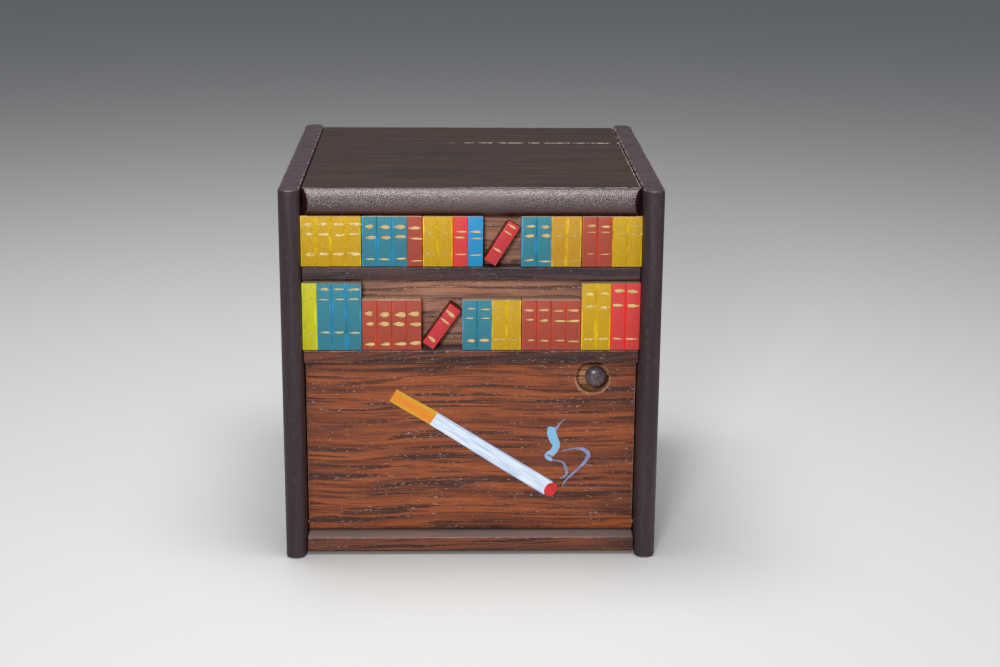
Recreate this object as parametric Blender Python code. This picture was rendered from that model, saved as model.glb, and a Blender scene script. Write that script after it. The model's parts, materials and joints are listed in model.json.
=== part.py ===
"""Puzzle cigarette box in the shape of a small bookcase.

A rosewood case carries two rows of painted book blocks over a painted fall-front panel.
The lid hinges on pins in front of a fixed rear strip. The panel hinges at its foot.
In each row one leaning book is a turning latch: leaning it is free, upright it holds the
lid (upper row) or the panel (lower row). A knob behind a round hole slides a bolt sideways.

Frame: +Z up, the front faces -Y, the origin is under the middle of the case at floor level.
Lengths are written in millimetres and turned into metres by the helpers.
"""

import math

import bmesh
import bpy
from mathutils import Matrix, Vector

for old in list(bpy.data.objects):
    bpy.data.objects.remove(old, do_unlink=True)

MM = 0.001

# ---------------------------------------------------------------- driving dimensions (mm)
WIDTH = 109.0
HEIGHT = 110.4
DEPTH = 112.0
SIDE_THICKNESS = 6.0
SIDE_EDGE_ROUND = 0.5

GLUE_GAP = 0.25           # between pieces that are glued face to face
RUNNING_GAP = 0.4         # between a moving piece and the case beside it
FIT_GAP = 0.3             # between pieces that meet without glue
CUTTER_OVERSHOOT = 1.0    # how far a cutter passes the face that it enters by
PIN_CLEARANCE = 0.12      # radial, between a turning pin and its hole
DOWEL_CLEARANCE = 0.1     # radial, between a glued dowel and its hole

BOARD_THICKNESS = 3.6     # middle board and upper shelf
BASE_THICKNESS = 4.1
FOOT_HEIGHT = 1.3         # the sides stand this far below the base board
BOOK_PROUD = 5.5          # books, shelves and base rail stand this far in front of the panels
PANEL_THICKNESS = 4.0     # book panel and back panel

LID_THICKNESS = 5.0
LID_DROP = 0.5            # lid top below the tops of the sides
REAR_STRIP_DEPTH = 29.0
NOSE_RADIUS = 4.1
NOSE_BACK = 7.5           # back of the nose behind the foremost line of the sides
NOSE_END_CHAMFER = 1.8

UPPER_SHELF_TOP = 87.7
MIDDLE_BOARD_TOP = 63.0
TALL_BOOK_HEIGHT = 20.0
SHORT_BOOK_HEIGHT = 15.0
BOOKS_PER_BLOCK = 4
BLOCKS_PER_ROW = 5
UPPER_ROW_ROOM = 2.5      # from the tops of the upper books up to the lid board
KERF_WIDTH = 0.36
KERF_DEPTH = 0.45

UPPER_BOOK_GAP = 10.7     # opening in the upper row, for its leaning book
LOWER_BOOK_GAP = 11.6
UPPER_BOOK_LENGTH = 13.3
LOWER_BOOK_LENGTH = 14.0
LEANING_BOOK_WIDTH = 3.75
LEAN_CLEARANCE = 0.25     # from a leaning book's corners to the blocks on both sides
BOOK_LIFT = 0.4           # from a leaning book's lowest corner to the shelf
BOOK_PIVOT_HEIGHT = 3.3   # pivot above the book's own lower end
UPPER_BOOK_RELIEF = 0.8   # cut off the back of the upper leaning book's top, under the nose
DOWEL_RADIUS = 0.9
DOWEL_DEPTH = 3.0         # how far a dowel enters its book
LATCH_THICKNESS = 3.0
LATCH_HUB_RADIUS = 2.2
HOOK_ARM_WIDTH = 3.0
HOOK_LID_ROOM = 3.4       # from the top of the hook up to the lid
HOOK_FINGER_LENGTH = 2.7  # beyond the arm
HOOK_FINGER_HEIGHT = 2.2
TAIL_WIDTH = 2.4
TAIL_REACH = 12.0         # pivot to the tip of the lower latch's tail

LID_KEEPER_DEPTH = 4.0
LID_KEEPER_STEM = 2.2     # width of the stem that hangs from the lid
LID_KEEPER_FOOT = 2.1     # height of the foot under the hook's finger
LID_KEEPER_LIFT = 0.6     # from the foot up to the finger
LID_KEEPER_ROOM = 0.9     # from the stem to the finger's end
FLAP_KEEPER_WIDTH = 4.0
FLAP_KEEPER_FLOOR = 2.0   # thickness of the bracket's floor
FLAP_KEEPER_LIP = 1.8     # thickness of the lip behind the tail
FLAP_KEEPER_ROOM = 0.9    # from the floor up to the tail's tip

FLAP_THICKNESS = 3.8
FLAP_FOOT_ROUND = 0.8
FLAP_FOOT_GAP = 0.35      # from the base board up to the flap
FLAP_PIVOT_DEPTH = 1.6    # behind the flap's front face
FLAP_PIVOT_HEIGHT = 2.0   # above the flap's lower edge
HINGE_PIN_RADIUS = 0.8
HINGE_PIN_LENGTH = 5.8
LID_PIVOT_DEPTH = 1.8     # below the lid's top face
LID_PIVOT_INSET = 2.1     # in front of the lid's rear edge

KNOB_HOLE_RADIUS = 4.9
KNOB_HOLE_X = 35.6
KNOB_HOLE_DROP = 5.9      # hole centre below the middle board
KNOB_RADIUS = 3.15
KNOB_SHANK_RADIUS = 1.3
KNOB_CROWN = 1.5          # crown of the knob in front of the flap
KNOB_RIM_DEPTH = 0.4      # widest line of the knob behind the flap's front face
KNOB_NECK = 0.9           # height of the cove under the knob's widest line
KNOB_PIP_RADIUS = 0.5
KNOB_REST_OFFSET = 0.85   # knob to the right of the hole's centre when it is free
CATCH_TRAVEL = 2.5
SLIDER_HEIGHT = 7.0
SLIDER_THICKNESS = 2.2
SLIDER_LENGTH = 16.5
SLIDER_LEFT_ARM = 10.0    # from the knob's axis to the slider's left end
TONGUE_REACH = 4.0        # the tongue stands out this far past the slider's left end
TONGUE_LAP = 3.5          # length of the tongue glued on the slider's back
TONGUE_THICKNESS = 1.8
RAIL_OVERRUN = 2.0        # the rails pass the slider's right end by this much
UPPER_RAIL_HEIGHT = 1.3
LOWER_RAIL_HEIGHT = 2.2
COVER_THICKNESS = 1.0
COVER_ROOM = 1.5          # from the tongue's right end to the cover
BOLT_KEEPER_LENGTH = 4.5
BOLT_KEEPER_WALL = 1.2    # behind the mortise
BOLT_KEEPER_FLOOR = 1.8   # under the mortise

STOP_WIDTH = 3.2          # cleats on the sides behind the flap
STOP_DEPTH = 3.0
STOP_BOTTOM = 15.0        # above the base board
STOP_HEIGHT = 22.0

# ---------------------------------------------------------------- planes worked out from them
HALF_WIDTH = WIDTH / 2
HALF_INNER = HALF_WIDTH - SIDE_THICKNESS
TIP_FRONT = -DEPTH / 2
TIP_REAR = DEPTH / 2
BULLNOSE = SIDE_THICKNESS / 2
FACE_FRONT = TIP_FRONT + BULLNOSE
PANEL_FRONT = FACE_FRONT + BOOK_PROUD
PANEL_BACK = PANEL_FRONT + PANEL_THICKNESS
CASE_REAR = TIP_REAR - BULLNOSE
BACK_INNER = CASE_REAR - PANEL_THICKNESS

BASE_TOP = FOOT_HEIGHT + BASE_THICKNESS
MIDDLE_BOTTOM = MIDDLE_BOARD_TOP - BOARD_THICKNESS
UPPER_SHELF_BOTTOM = UPPER_SHELF_TOP - BOARD_THICKNESS

LID_TOP = HEIGHT - LID_DROP
LID_BOTTOM = LID_TOP - LID_THICKNESS
LID_JOINT = CASE_REAR - REAR_STRIP_DEPTH
LID_REAR = LID_JOINT - FIT_GAP
LID_AXIS_Y = LID_REAR - LID_PIVOT_INSET
LID_AXIS_Z = LID_TOP - LID_PIVOT_DEPTH
NOSE_BACK_Y = TIP_FRONT + NOSE_BACK
NOSE_BOTTOM = LID_TOP - 2 * NOSE_RADIUS
UPPER_BOOKS_TOP = LID_BOTTOM - UPPER_ROW_ROOM
NOSE_HALF_CHORD = math.sqrt(NOSE_RADIUS ** 2 - (UPPER_BOOKS_TOP - NOSE_BOTTOM - NOSE_RADIUS) ** 2)
RELIEF_FRONT = NOSE_BACK_Y - NOSE_HALF_CHORD - RUNNING_GAP

FLAP_BACK = PANEL_FRONT + FLAP_THICKNESS
FLAP_BOTTOM = BASE_TOP + FLAP_FOOT_GAP
FLAP_TOP = MIDDLE_BOTTOM - RUNNING_GAP
FLAP_AXIS_Y = PANEL_FRONT + FLAP_PIVOT_DEPTH
FLAP_AXIS_Z = FLAP_BOTTOM + FLAP_PIVOT_HEIGHT

LATCH_FRONT = max(PANEL_BACK, FLAP_BACK) + FIT_GAP
LATCH_BACK = LATCH_FRONT + LATCH_THICKNESS

KNOB_HOLE_Z = MIDDLE_BOTTOM - KNOB_HOLE_DROP
KNOB_X = KNOB_HOLE_X + KNOB_REST_OFFSET
SLIDER_FRONT = FLAP_BACK + FIT_GAP
SLIDER_BACK = SLIDER_FRONT + SLIDER_THICKNESS
SLIDER_LEFT = KNOB_X - SLIDER_LEFT_ARM
SLIDER_RIGHT = SLIDER_LEFT + SLIDER_LENGTH
SLIDER_BOTTOM = KNOB_HOLE_Z - SLIDER_HEIGHT / 2
SLIDER_TOP = KNOB_HOLE_Z + SLIDER_HEIGHT / 2
TONGUE_FRONT = SLIDER_BACK + GLUE_GAP
TONGUE_BACK = TONGUE_FRONT + TONGUE_THICKNESS
TONGUE_LEFT = SLIDER_LEFT - TONGUE_REACH
TONGUE_RIGHT = SLIDER_LEFT + TONGUE_LAP
RAIL_RIGHT = SLIDER_RIGHT + RAIL_OVERRUN
ROUND_STEPS = 24


# ---------------------------------------------------------------- materials
def material(name, colour, roughness, metallic=0.0):
    """A Principled material with one colour."""
    mat = bpy.data.materials.new(name)
    mat.use_nodes = True
    shader = mat.node_tree.nodes["Principled BSDF"]
    shader.inputs["Base Color"].default_value = (*colour, 1.0)
    shader.inputs["Roughness"].default_value = roughness
    shader.inputs["Metallic"].default_value = metallic
    mat.diffuse_color = (*colour, 1.0)
    return mat


SIDE_WOOD = material("side_wood", (0.060, 0.042, 0.040), 0.45)
TOP_WOOD = material("top_wood", (0.075, 0.046, 0.034), 0.5)
NOSE_WOOD = material("nose_wood", (0.090, 0.028, 0.016), 0.28)
PANEL_WOOD = material("panel_wood", (0.220, 0.062, 0.022), 0.4)
SHELF_WOOD = material("shelf_wood", (0.110, 0.045, 0.026), 0.42)
INNER_WOOD = material("inner_wood", (0.330, 0.160, 0.070), 0.6)
KNOB_WOOD = material("knob_wood", (0.080, 0.050, 0.050), 0.25)
PIN_METAL = material("pin_metal", (0.60, 0.45, 0.20), 0.35, 1.0)
BOOK_PAINT = {
    "yellow": material("paint_yellow", (0.640, 0.420, 0.020), 0.35),
    "blue": material("paint_blue", (0.020, 0.270, 0.480), 0.35),
    "brown": material("paint_brown_red", (0.380, 0.080, 0.035), 0.35),
    "red": material("paint_red", (0.600, 0.030, 0.020), 0.35),
}


# ---------------------------------------------------------------- helpers
def joint_empty(name, place, lean=0.0):
    """An empty on a joint's axis; lean turns it about +Y, the way a book leans."""
    empty = bpy.data.objects.new(name, None)
    empty.location = Vector(place) * MM
    empty.rotation_euler = (0.0, lean, 0.0)
    empty.empty_display_size = 0.01
    bpy.context.scene.collection.objects.link(empty)
    return empty


def add_object(name, bm, mat, parent=None, upright=False):
    """Turn a bmesh (in mm) into an object.

    With a parent the piece is given in the case's own millimetres, unless it is upright:
    then it is given from the parent's axis, standing straight, and leans with the parent.
    """
    bmesh.ops.recalc_face_normals(bm, faces=bm.faces)
    bmesh.ops.scale(bm, vec=(MM, MM, MM), verts=bm.verts)
    mesh = bpy.data.meshes.new(name)
    bm.to_mesh(mesh)
    bm.free()
    mesh.shade_smooth()
    mesh.set_sharp_from_angle(angle=math.radians(35))
    piece = bpy.data.objects.new(name, mesh)
    if mat is not None:
        mesh.materials.append(mat)
    bpy.context.scene.collection.objects.link(piece)
    if parent is not None:
        piece.parent = parent
        if not upright:
            piece.matrix_parent_inverse = Matrix.Translation(-parent.location)
    return piece


def outline_prism(name, outline, axis, span, mat, parent=None, upright=False):
    """Extrude a closed outline along an axis.

    axis x takes (y, z) points, axis y takes (x, z) points and axis z takes (x, y) points.
    """
    start, end = span
    place = {
        "x": lambda a, b: (start, a, b),
        "y": lambda a, b: (a, start, b),
        "z": lambda a, b: (a, b, start),
    }[axis]
    step = {"x": (end - start, 0, 0), "y": (0, end - start, 0), "z": (0, 0, end - start)}[axis]
    bm = bmesh.new()
    face = bm.faces.new([bm.verts.new(place(a, b)) for a, b in outline])
    grown = bmesh.ops.extrude_face_region(bm, geom=[face])
    moved = [part for part in grown["geom"] if isinstance(part, bmesh.types.BMVert)]
    bmesh.ops.translate(bm, vec=step, verts=moved)
    return add_object(name, bm, mat, parent, upright)


def board(name, x, y, z, mat, parent=None, upright=False):
    """A plain rectangular piece between pairs of x, y and z."""
    outline = [(x[0], y[0]), (x[1], y[0]), (x[1], y[1]), (x[0], y[1])]
    return outline_prism(name, outline, "z", z, mat, parent, upright)


def arc(centre, radius, start, end, steps):
    """Points on an arc, angles in degrees, both ends included."""
    points = []
    for step in range(steps + 1):
        angle = math.radians(start + (end - start) * step / steps)
        points.append((centre[0] + radius * math.cos(angle), centre[1] + radius * math.sin(angle)))
    return points


def rod(name, axis, centre, radius, span, mat, parent=None, upright=False):
    """A round rod along an axis; centre is given in the plane across it."""
    outline = arc(centre, radius, 0, 360 - 360 / ROUND_STEPS, ROUND_STEPS - 1)
    return outline_prism(name, outline, axis, span, mat, parent, upright)


def cut(piece, cutter):
    """Cut one piece with another, which stays as a hidden guide."""
    cutter.hide_render = True
    cutter.display_type = "WIRE"
    boolean = piece.modifiers.new("cut_" + cutter.name, "BOOLEAN")
    boolean.operation = "DIFFERENCE"
    boolean.solver = "EXACT"
    boolean.object = cutter


def drill(piece, axis, centre, radius, span, upright=False):
    """Drill a round hole in a piece, whose parent the drill shares."""
    index = len(piece.modifiers) + 1
    cutter = rod(f"drill_{piece.name}_{index}", axis, centre, radius, span, None, piece.parent, upright)
    cut(piece, cutter)


def turned(name, profile, centre, mat, parent=None):
    """Turn (radius, y) points about a line along Y through centre (x, z)."""
    bm = bmesh.new()
    rings = []
    for radius, y in profile:
        if radius == 0:
            rings.append([bm.verts.new((centre[0], y, centre[1]))])
            continue
        rings.append([
            bm.verts.new((x, y, z))
            for x, z in arc(centre, radius, 0, 360 - 360 / ROUND_STEPS, ROUND_STEPS - 1)
        ])
    for lower, upper in zip(rings, rings[1:]):
        for index in range(ROUND_STEPS):
            after = (index + 1) % ROUND_STEPS
            if len(lower) == 1:
                bm.faces.new((lower[0], upper[after], upper[index]))
            elif len(upper) == 1:
                bm.faces.new((lower[index], lower[after], upper[0]))
            else:
                bm.faces.new((lower[index], lower[after], upper[after], upper[index]))
    return add_object(name, bm, mat, parent)


# ---------------------------------------------------------------- case
def make_side(name, sign):
    """A side panel with half-round front and rear edges; it stands on the floor."""
    middle = sign * (HALF_WIDTH - BULLNOSE)
    front = (middle, TIP_FRONT + BULLNOSE)
    rear = (middle, TIP_REAR - BULLNOSE)
    outline = arc(front, BULLNOSE, 180, 360, 12) + arc(rear, BULLNOSE, 0, 180, 12)
    side = outline_prism(name, outline, "z", (0.0, HEIGHT), SIDE_WOOD)
    bevel = side.modifiers.new("worn_edges", "BEVEL")
    bevel.width = SIDE_EDGE_ROUND * MM
    bevel.segments = 2
    bevel.limit_method = "ANGLE"
    bevel.angle_limit = math.radians(60)
    inner_face = sign * HALF_INNER
    hole_depth = HINGE_PIN_LENGTH / 2 + RUNNING_GAP
    span = (inner_face - sign * CUTTER_OVERSHOOT, inner_face + sign * hole_depth)
    for axis_y, axis_z in ((LID_AXIS_Y, LID_AXIS_Z), (FLAP_AXIS_Y, FLAP_AXIS_Z)):
        drill(side, "x", (axis_y, axis_z), HINGE_PIN_RADIUS + PIN_CLEARANCE, span)
    return side


def glued_width():
    """The span of a board glued between the sides."""
    return (-HALF_INNER + GLUE_GAP, HALF_INNER - GLUE_GAP)


make_side("left_side", -1)
make_side("right_side", 1)
board("base_board", glued_width(), (FACE_FRONT, BACK_INNER - GLUE_GAP), (FOOT_HEIGHT, BASE_TOP), SHELF_WOOD)
MIDDLE_BOARD = board("middle_board", glued_width(), (FACE_FRONT, BACK_INNER - GLUE_GAP),
                     (MIDDLE_BOTTOM, MIDDLE_BOARD_TOP), SHELF_WOOD)
board("back_panel", glued_width(), (BACK_INNER, CASE_REAR), (FOOT_HEIGHT, LID_BOTTOM - GLUE_GAP), TOP_WOOD)
board("rear_top_strip", glued_width(), (LID_JOINT, CASE_REAR), (LID_BOTTOM, LID_TOP), TOP_WOOD)
BOOK_PANEL = board("book_panel", glued_width(), (PANEL_FRONT, PANEL_BACK),
                   (MIDDLE_BOARD_TOP + GLUE_GAP, LID_BOTTOM - RUNNING_GAP), PANEL_WOOD)
board("upper_shelf", glued_width(), (FACE_FRONT, PANEL_FRONT - GLUE_GAP),
      (UPPER_SHELF_BOTTOM, UPPER_SHELF_TOP), SHELF_WOOD)


# ---------------------------------------------------------------- book blocks
def block_outline(start, end):
    """Plan of one block: a straight back and a saw kerf between neighbouring books."""
    back = PANEL_FRONT - GLUE_GAP
    points = [(end, back), (start, back), (start, FACE_FRONT)]
    book = (end - start) / BOOKS_PER_BLOCK
    for index in range(1, BOOKS_PER_BLOCK):
        middle = start + index * book
        points.append((middle - KERF_WIDTH / 2, FACE_FRONT))
        points.append((middle, FACE_FRONT + KERF_DEPTH))
        points.append((middle + KERF_WIDTH / 2, FACE_FRONT))
    points.append((end, FACE_FRONT))
    return points


def gap_edges(gap, blocks_before):
    """Left and right edges of the opening in a row of blocks."""
    block = (2 * HALF_INNER - gap) / BLOCKS_PER_ROW
    left = -HALF_INNER + blocks_before * block
    return left, left + gap


def make_row(row, gap, blocks_before, shelf_top, heights, paints):
    """Five blocks with an opening after blocks_before of them."""
    block = (2 * HALF_INNER - gap) / BLOCKS_PER_ROW
    blocks = []
    for index in range(BLOCKS_PER_ROW):
        start = -HALF_INNER + index * block + (gap if index >= blocks_before else 0.0)
        outline = block_outline(start + GLUE_GAP / 2, start + block - GLUE_GAP / 2)
        bottom = shelf_top + GLUE_GAP
        blocks.append(outline_prism(f"{row}_books_{index + 1}", outline, "z",
                                    (bottom, shelf_top + heights[index]), BOOK_PAINT[paints[index]]))
    return blocks


def relieve_for_nose(blocks):
    """Cut away the back of the upper blocks' tops, where the lid's nose comes down behind them."""
    relief = board("relief_for_nose", (-HALF_WIDTH, HALF_WIDTH), (RELIEF_FRONT, PANEL_FRONT),
                   (NOSE_BOTTOM - FIT_GAP, LID_TOP), None)
    for block in blocks:
        cut(block, relief)


UPPER_ROW_HEIGHT = UPPER_BOOKS_TOP - UPPER_SHELF_TOP
UPPER_BLOCKS_BEFORE = 3
LOWER_BLOCKS_BEFORE = 2
UPPER_BLOCKS = make_row("upper", UPPER_BOOK_GAP, UPPER_BLOCKS_BEFORE, UPPER_SHELF_TOP,
                        [UPPER_ROW_HEIGHT] * BLOCKS_PER_ROW, ["yellow", "blue", "yellow", "blue", "brown"])
relieve_for_nose(UPPER_BLOCKS)
make_row("lower", LOWER_BOOK_GAP, LOWER_BLOCKS_BEFORE, MIDDLE_BOARD_TOP,
         [TALL_BOOK_HEIGHT, SHORT_BOOK_HEIGHT, SHORT_BOOK_HEIGHT, SHORT_BOOK_HEIGHT, TALL_BOOK_HEIGHT],
         ["blue", "brown", "blue", "brown", "yellow"])


# ---------------------------------------------------------------- lid
LID_AXIS = joint_empty("lid_hinge", (0.0, LID_AXIS_Y, LID_AXIS_Z))
LID_WIDTH = (-HALF_INNER + RUNNING_GAP, HALF_INNER - RUNNING_GAP)


def make_lid_board():
    """The lid's rear edge is turned about the hinge line, so that it clears the fixed strip."""
    meet = math.degrees(math.asin(LID_PIVOT_DEPTH / LID_PIVOT_INSET))
    rear_round = arc((LID_AXIS_Y, LID_AXIS_Z), LID_PIVOT_INSET, 0, meet, 6)
    front = NOSE_BACK_Y + GLUE_GAP
    outline = [(front, LID_BOTTOM), (LID_REAR, LID_BOTTOM)] + rear_round + [(front, LID_TOP)]
    lid = outline_prism("lid_board", outline, "x", LID_WIDTH, TOP_WOOD, LID_AXIS)
    for sign in (-1, 1):
        edge = sign * LID_WIDTH[1]
        drill(lid, "x", (LID_AXIS_Y, LID_AXIS_Z), HINGE_PIN_RADIUS + DOWEL_CLEARANCE,
              (edge + sign * CUTTER_OVERSHOOT, edge - sign * (HINGE_PIN_LENGTH / 2 + FIT_GAP)))
    return lid


def make_nose():
    """A half-round moulding whose ends are chamfered back towards the sides."""
    bm = bmesh.new()
    centre = (NOSE_BACK_Y, LID_TOP - NOSE_RADIUS)
    ends = []
    for sign in (-1, 1):
        ring = []
        for y, z in arc(centre, NOSE_RADIUS, 90, 270, 20):
            inset = NOSE_END_CHAMFER * (NOSE_BACK_Y - y) / NOSE_RADIUS
            ring.append(bm.verts.new((sign * (LID_WIDTH[1] - inset), y, z)))
        bm.faces.new(ring)
        ends.append(ring)
    left, right = ends
    count = len(left)
    for index in range(count):
        after = (index + 1) % count
        bm.faces.new((left[index], left[after], right[after], right[index]))
    return add_object("lid_nose", bm, NOSE_WOOD, LID_AXIS)


def hinge_pins(stem, axis_y, axis_z, parent):
    """Two short pins, half in the moving board and half in the side."""
    for name, sign in (("left", -1), ("right", 1)):
        inner_end = sign * (HALF_INNER - HINGE_PIN_LENGTH / 2)
        outer_end = sign * (HALF_INNER + HINGE_PIN_LENGTH / 2)
        rod(f"{stem}_pin_{name}", "x", (axis_y, axis_z), HINGE_PIN_RADIUS, (inner_end, outer_end),
            PIN_METAL, parent)


make_lid_board()
make_nose()
hinge_pins("lid", LID_AXIS_Y, LID_AXIS_Z, LID_AXIS)


# ---------------------------------------------------------------- turning latches
def lean_angle(length, gap):
    """The lean at which a book's corners just clear the blocks on both sides of its opening."""
    diagonal = math.hypot(length, LEANING_BOOK_WIDTH)
    return math.asin((gap - 2 * LEAN_CLEARANCE) / diagonal) - math.atan2(LEANING_BOOK_WIDTH, length)


def book_pivot(length, gap, blocks_before, shelf_top):
    """Where the dowel of a leaning book passes through the book panel, as (x, z), and its lean."""
    lean = lean_angle(length, gap)
    left, right = gap_edges(gap, blocks_before)
    half_height = (length * math.cos(lean) + LEANING_BOOK_WIDTH * math.sin(lean)) / 2
    below_middle = length / 2 - BOOK_PIVOT_HEIGHT
    x = (left + right) / 2 - below_middle * math.sin(lean)
    z = shelf_top + BOOK_LIFT + half_height - below_middle * math.cos(lean)
    return x, z, lean


def make_latch_book(row, length, parent):
    """The painted book in front of the panel, drilled from behind for its dowel."""
    half = LEANING_BOOK_WIDTH / 2
    back = PANEL_FRONT - FIT_GAP
    book = board(f"{row}_leaning_book", (-half, half), (FACE_FRONT, back),
                 (-BOOK_PIVOT_HEIGHT, length - BOOK_PIVOT_HEIGHT), BOOK_PAINT["red"], parent, upright=True)
    drill(book, "y", (0.0, 0.0), DOWEL_RADIUS + DOWEL_CLEARANCE,
          (back - DOWEL_DEPTH - FIT_GAP, back + CUTTER_OVERSHOOT), upright=True)
    if row == "upper":
        top = length - BOOK_PIVOT_HEIGHT
        relief = board("relief_of_leaning_book", (-LEANING_BOOK_WIDTH, LEANING_BOOK_WIDTH),
                       (RELIEF_FRONT, PANEL_FRONT), (top - UPPER_BOOK_RELIEF, top + CUTTER_OVERSHOOT),
                       None, parent, upright=True)
        cut(book, relief)
    return book


def make_latch(row, piece, length, place, outline):
    """Book, dowel and the hook or tail behind the panel that the dowel turns."""
    x, z, lean = place
    pivot = joint_empty(f"{row}_latch_pivot", (x, 0.0, z), lean)
    make_latch_book(row, length, pivot)
    rod(f"{row}_latch_dowel", "y", (0.0, 0.0), DOWEL_RADIUS,
        (PANEL_FRONT - FIT_GAP - DOWEL_DEPTH, LATCH_BACK - FIT_GAP), INNER_WOOD, pivot, upright=True)
    drill(BOOK_PANEL, "y", (x, z), DOWEL_RADIUS + PIN_CLEARANCE,
          (PANEL_FRONT - CUTTER_OVERSHOOT, PANEL_BACK + CUTTER_OVERSHOOT))
    latch = outline_prism(f"{row}_latch_{piece}", outline, "y", (LATCH_FRONT, LATCH_BACK), INNER_WOOD,
                          pivot, upright=True)
    drill(latch, "y", (0.0, 0.0), DOWEL_RADIUS + DOWEL_CLEARANCE,
          (LATCH_FRONT - CUTTER_OVERSHOOT, LATCH_BACK + CUTTER_OVERSHOOT), upright=True)


def hook_outline(reach):
    """An arm that stands up from a round hub, with a finger to the left at its top."""
    half = HOOK_ARM_WIDTH / 2
    meet = math.degrees(math.acos(half / LATCH_HUB_RADIUS))
    hub = arc((0.0, 0.0), LATCH_HUB_RADIUS, 180 - meet, 360 + meet, 16)
    finger_bottom = reach - HOOK_FINGER_HEIGHT
    finger_end = -half - HOOK_FINGER_LENGTH
    finger = [(half, reach), (finger_end, reach), (finger_end, finger_bottom)]
    return [(-half, finger_bottom)] + hub + finger


def tail_outline():
    """A tail that hangs from a round hub."""
    half = TAIL_WIDTH / 2
    meet = math.degrees(math.acos(half / LATCH_HUB_RADIUS))
    hub = arc((0.0, 0.0), LATCH_HUB_RADIUS, -meet, 180 + meet, 16)
    return hub + [(-half, -TAIL_REACH), (half, -TAIL_REACH)]


UPPER_PIVOT = book_pivot(UPPER_BOOK_LENGTH, UPPER_BOOK_GAP, UPPER_BLOCKS_BEFORE, UPPER_SHELF_TOP)
LOWER_PIVOT = book_pivot(LOWER_BOOK_LENGTH, LOWER_BOOK_GAP, LOWER_BLOCKS_BEFORE, MIDDLE_BOARD_TOP)
HOOK_TOP = LID_BOTTOM - HOOK_LID_ROOM
make_latch("upper", "hook", UPPER_BOOK_LENGTH, UPPER_PIVOT, hook_outline(HOOK_TOP - UPPER_PIVOT[1]))
make_latch("lower", "tail", LOWER_BOOK_LENGTH, LOWER_PIVOT, tail_outline())


def make_tail_slot():
    """The slot in the middle board in which the lower latch's tail swings."""
    x, z, lean = LOWER_PIVOT
    half = TAIL_WIDTH / 2
    right = x + half + RUNNING_GAP
    drop = z - MIDDLE_BOTTOM
    left = x - drop * math.tan(lean) - half / math.cos(lean) - RUNNING_GAP
    slot = board("slot_for_tail", (left, right), (LATCH_FRONT - FIT_GAP, LATCH_BACK + FIT_GAP),
                 (MIDDLE_BOTTOM - CUTTER_OVERSHOOT, MIDDLE_BOARD_TOP + CUTTER_OVERSHOOT), None)
    cut(MIDDLE_BOARD, slot)


def make_lid_keeper():
    """An L-shaped block under the lid. The upright hook's finger lies over its foot."""
    arm_left = UPPER_PIVOT[0] - HOOK_ARM_WIDTH / 2
    finger_bottom = HOOK_TOP - HOOK_FINGER_HEIGHT
    foot_right = arm_left - RUNNING_GAP
    foot_top = finger_bottom - LID_KEEPER_LIFT
    foot_bottom = foot_top - LID_KEEPER_FOOT
    stem_right = arm_left - HOOK_FINGER_LENGTH - LID_KEEPER_ROOM
    stem_left = stem_right - LID_KEEPER_STEM
    top = LID_BOTTOM - GLUE_GAP
    outline = [(stem_left, foot_bottom), (foot_right, foot_bottom), (foot_right, foot_top),
               (stem_right, foot_top), (stem_right, top), (stem_left, top)]
    swing = LID_AXIS_Z - foot_bottom
    reach = LID_AXIS_Y - PANEL_BACK
    forward = math.hypot(swing, reach) - reach
    front = PANEL_BACK + forward + FIT_GAP
    return outline_prism("lid_keeper", outline, "y", (front, front + LID_KEEPER_DEPTH), INNER_WOOD, LID_AXIS)


make_tail_slot()
make_lid_keeper()


# ---------------------------------------------------------------- fall-front flap
FLAP_AXIS = joint_empty("flap_hinge", (0.0, FLAP_AXIS_Y, FLAP_AXIS_Z))
FLAP_WIDTH = (-HALF_INNER + RUNNING_GAP, HALF_INNER - RUNNING_GAP)


def make_flap_board():
    """The panel turns on pins at its foot, and its lower front edge is eased to pass the rail."""
    foot = (PANEL_FRONT + FLAP_FOOT_ROUND, FLAP_BOTTOM + FLAP_FOOT_ROUND)
    outline = arc(foot, FLAP_FOOT_ROUND, 180, 270, 4)
    outline += [(FLAP_BACK, FLAP_BOTTOM), (FLAP_BACK, FLAP_TOP), (PANEL_FRONT, FLAP_TOP)]
    flap = outline_prism("flap_board", outline, "x", FLAP_WIDTH, PANEL_WOOD, FLAP_AXIS)
    for sign in (-1, 1):
        edge = sign * FLAP_WIDTH[1]
        drill(flap, "x", (FLAP_AXIS_Y, FLAP_AXIS_Z), HINGE_PIN_RADIUS + DOWEL_CLEARANCE,
              (edge + sign * CUTTER_OVERSHOOT, edge - sign * (HINGE_PIN_LENGTH / 2 + FIT_GAP)))
    drill(flap, "y", (KNOB_HOLE_X, KNOB_HOLE_Z), KNOB_HOLE_RADIUS,
          (PANEL_FRONT - CUTTER_OVERSHOOT, FLAP_BACK + CUTTER_OVERSHOOT))
    return flap


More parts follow.
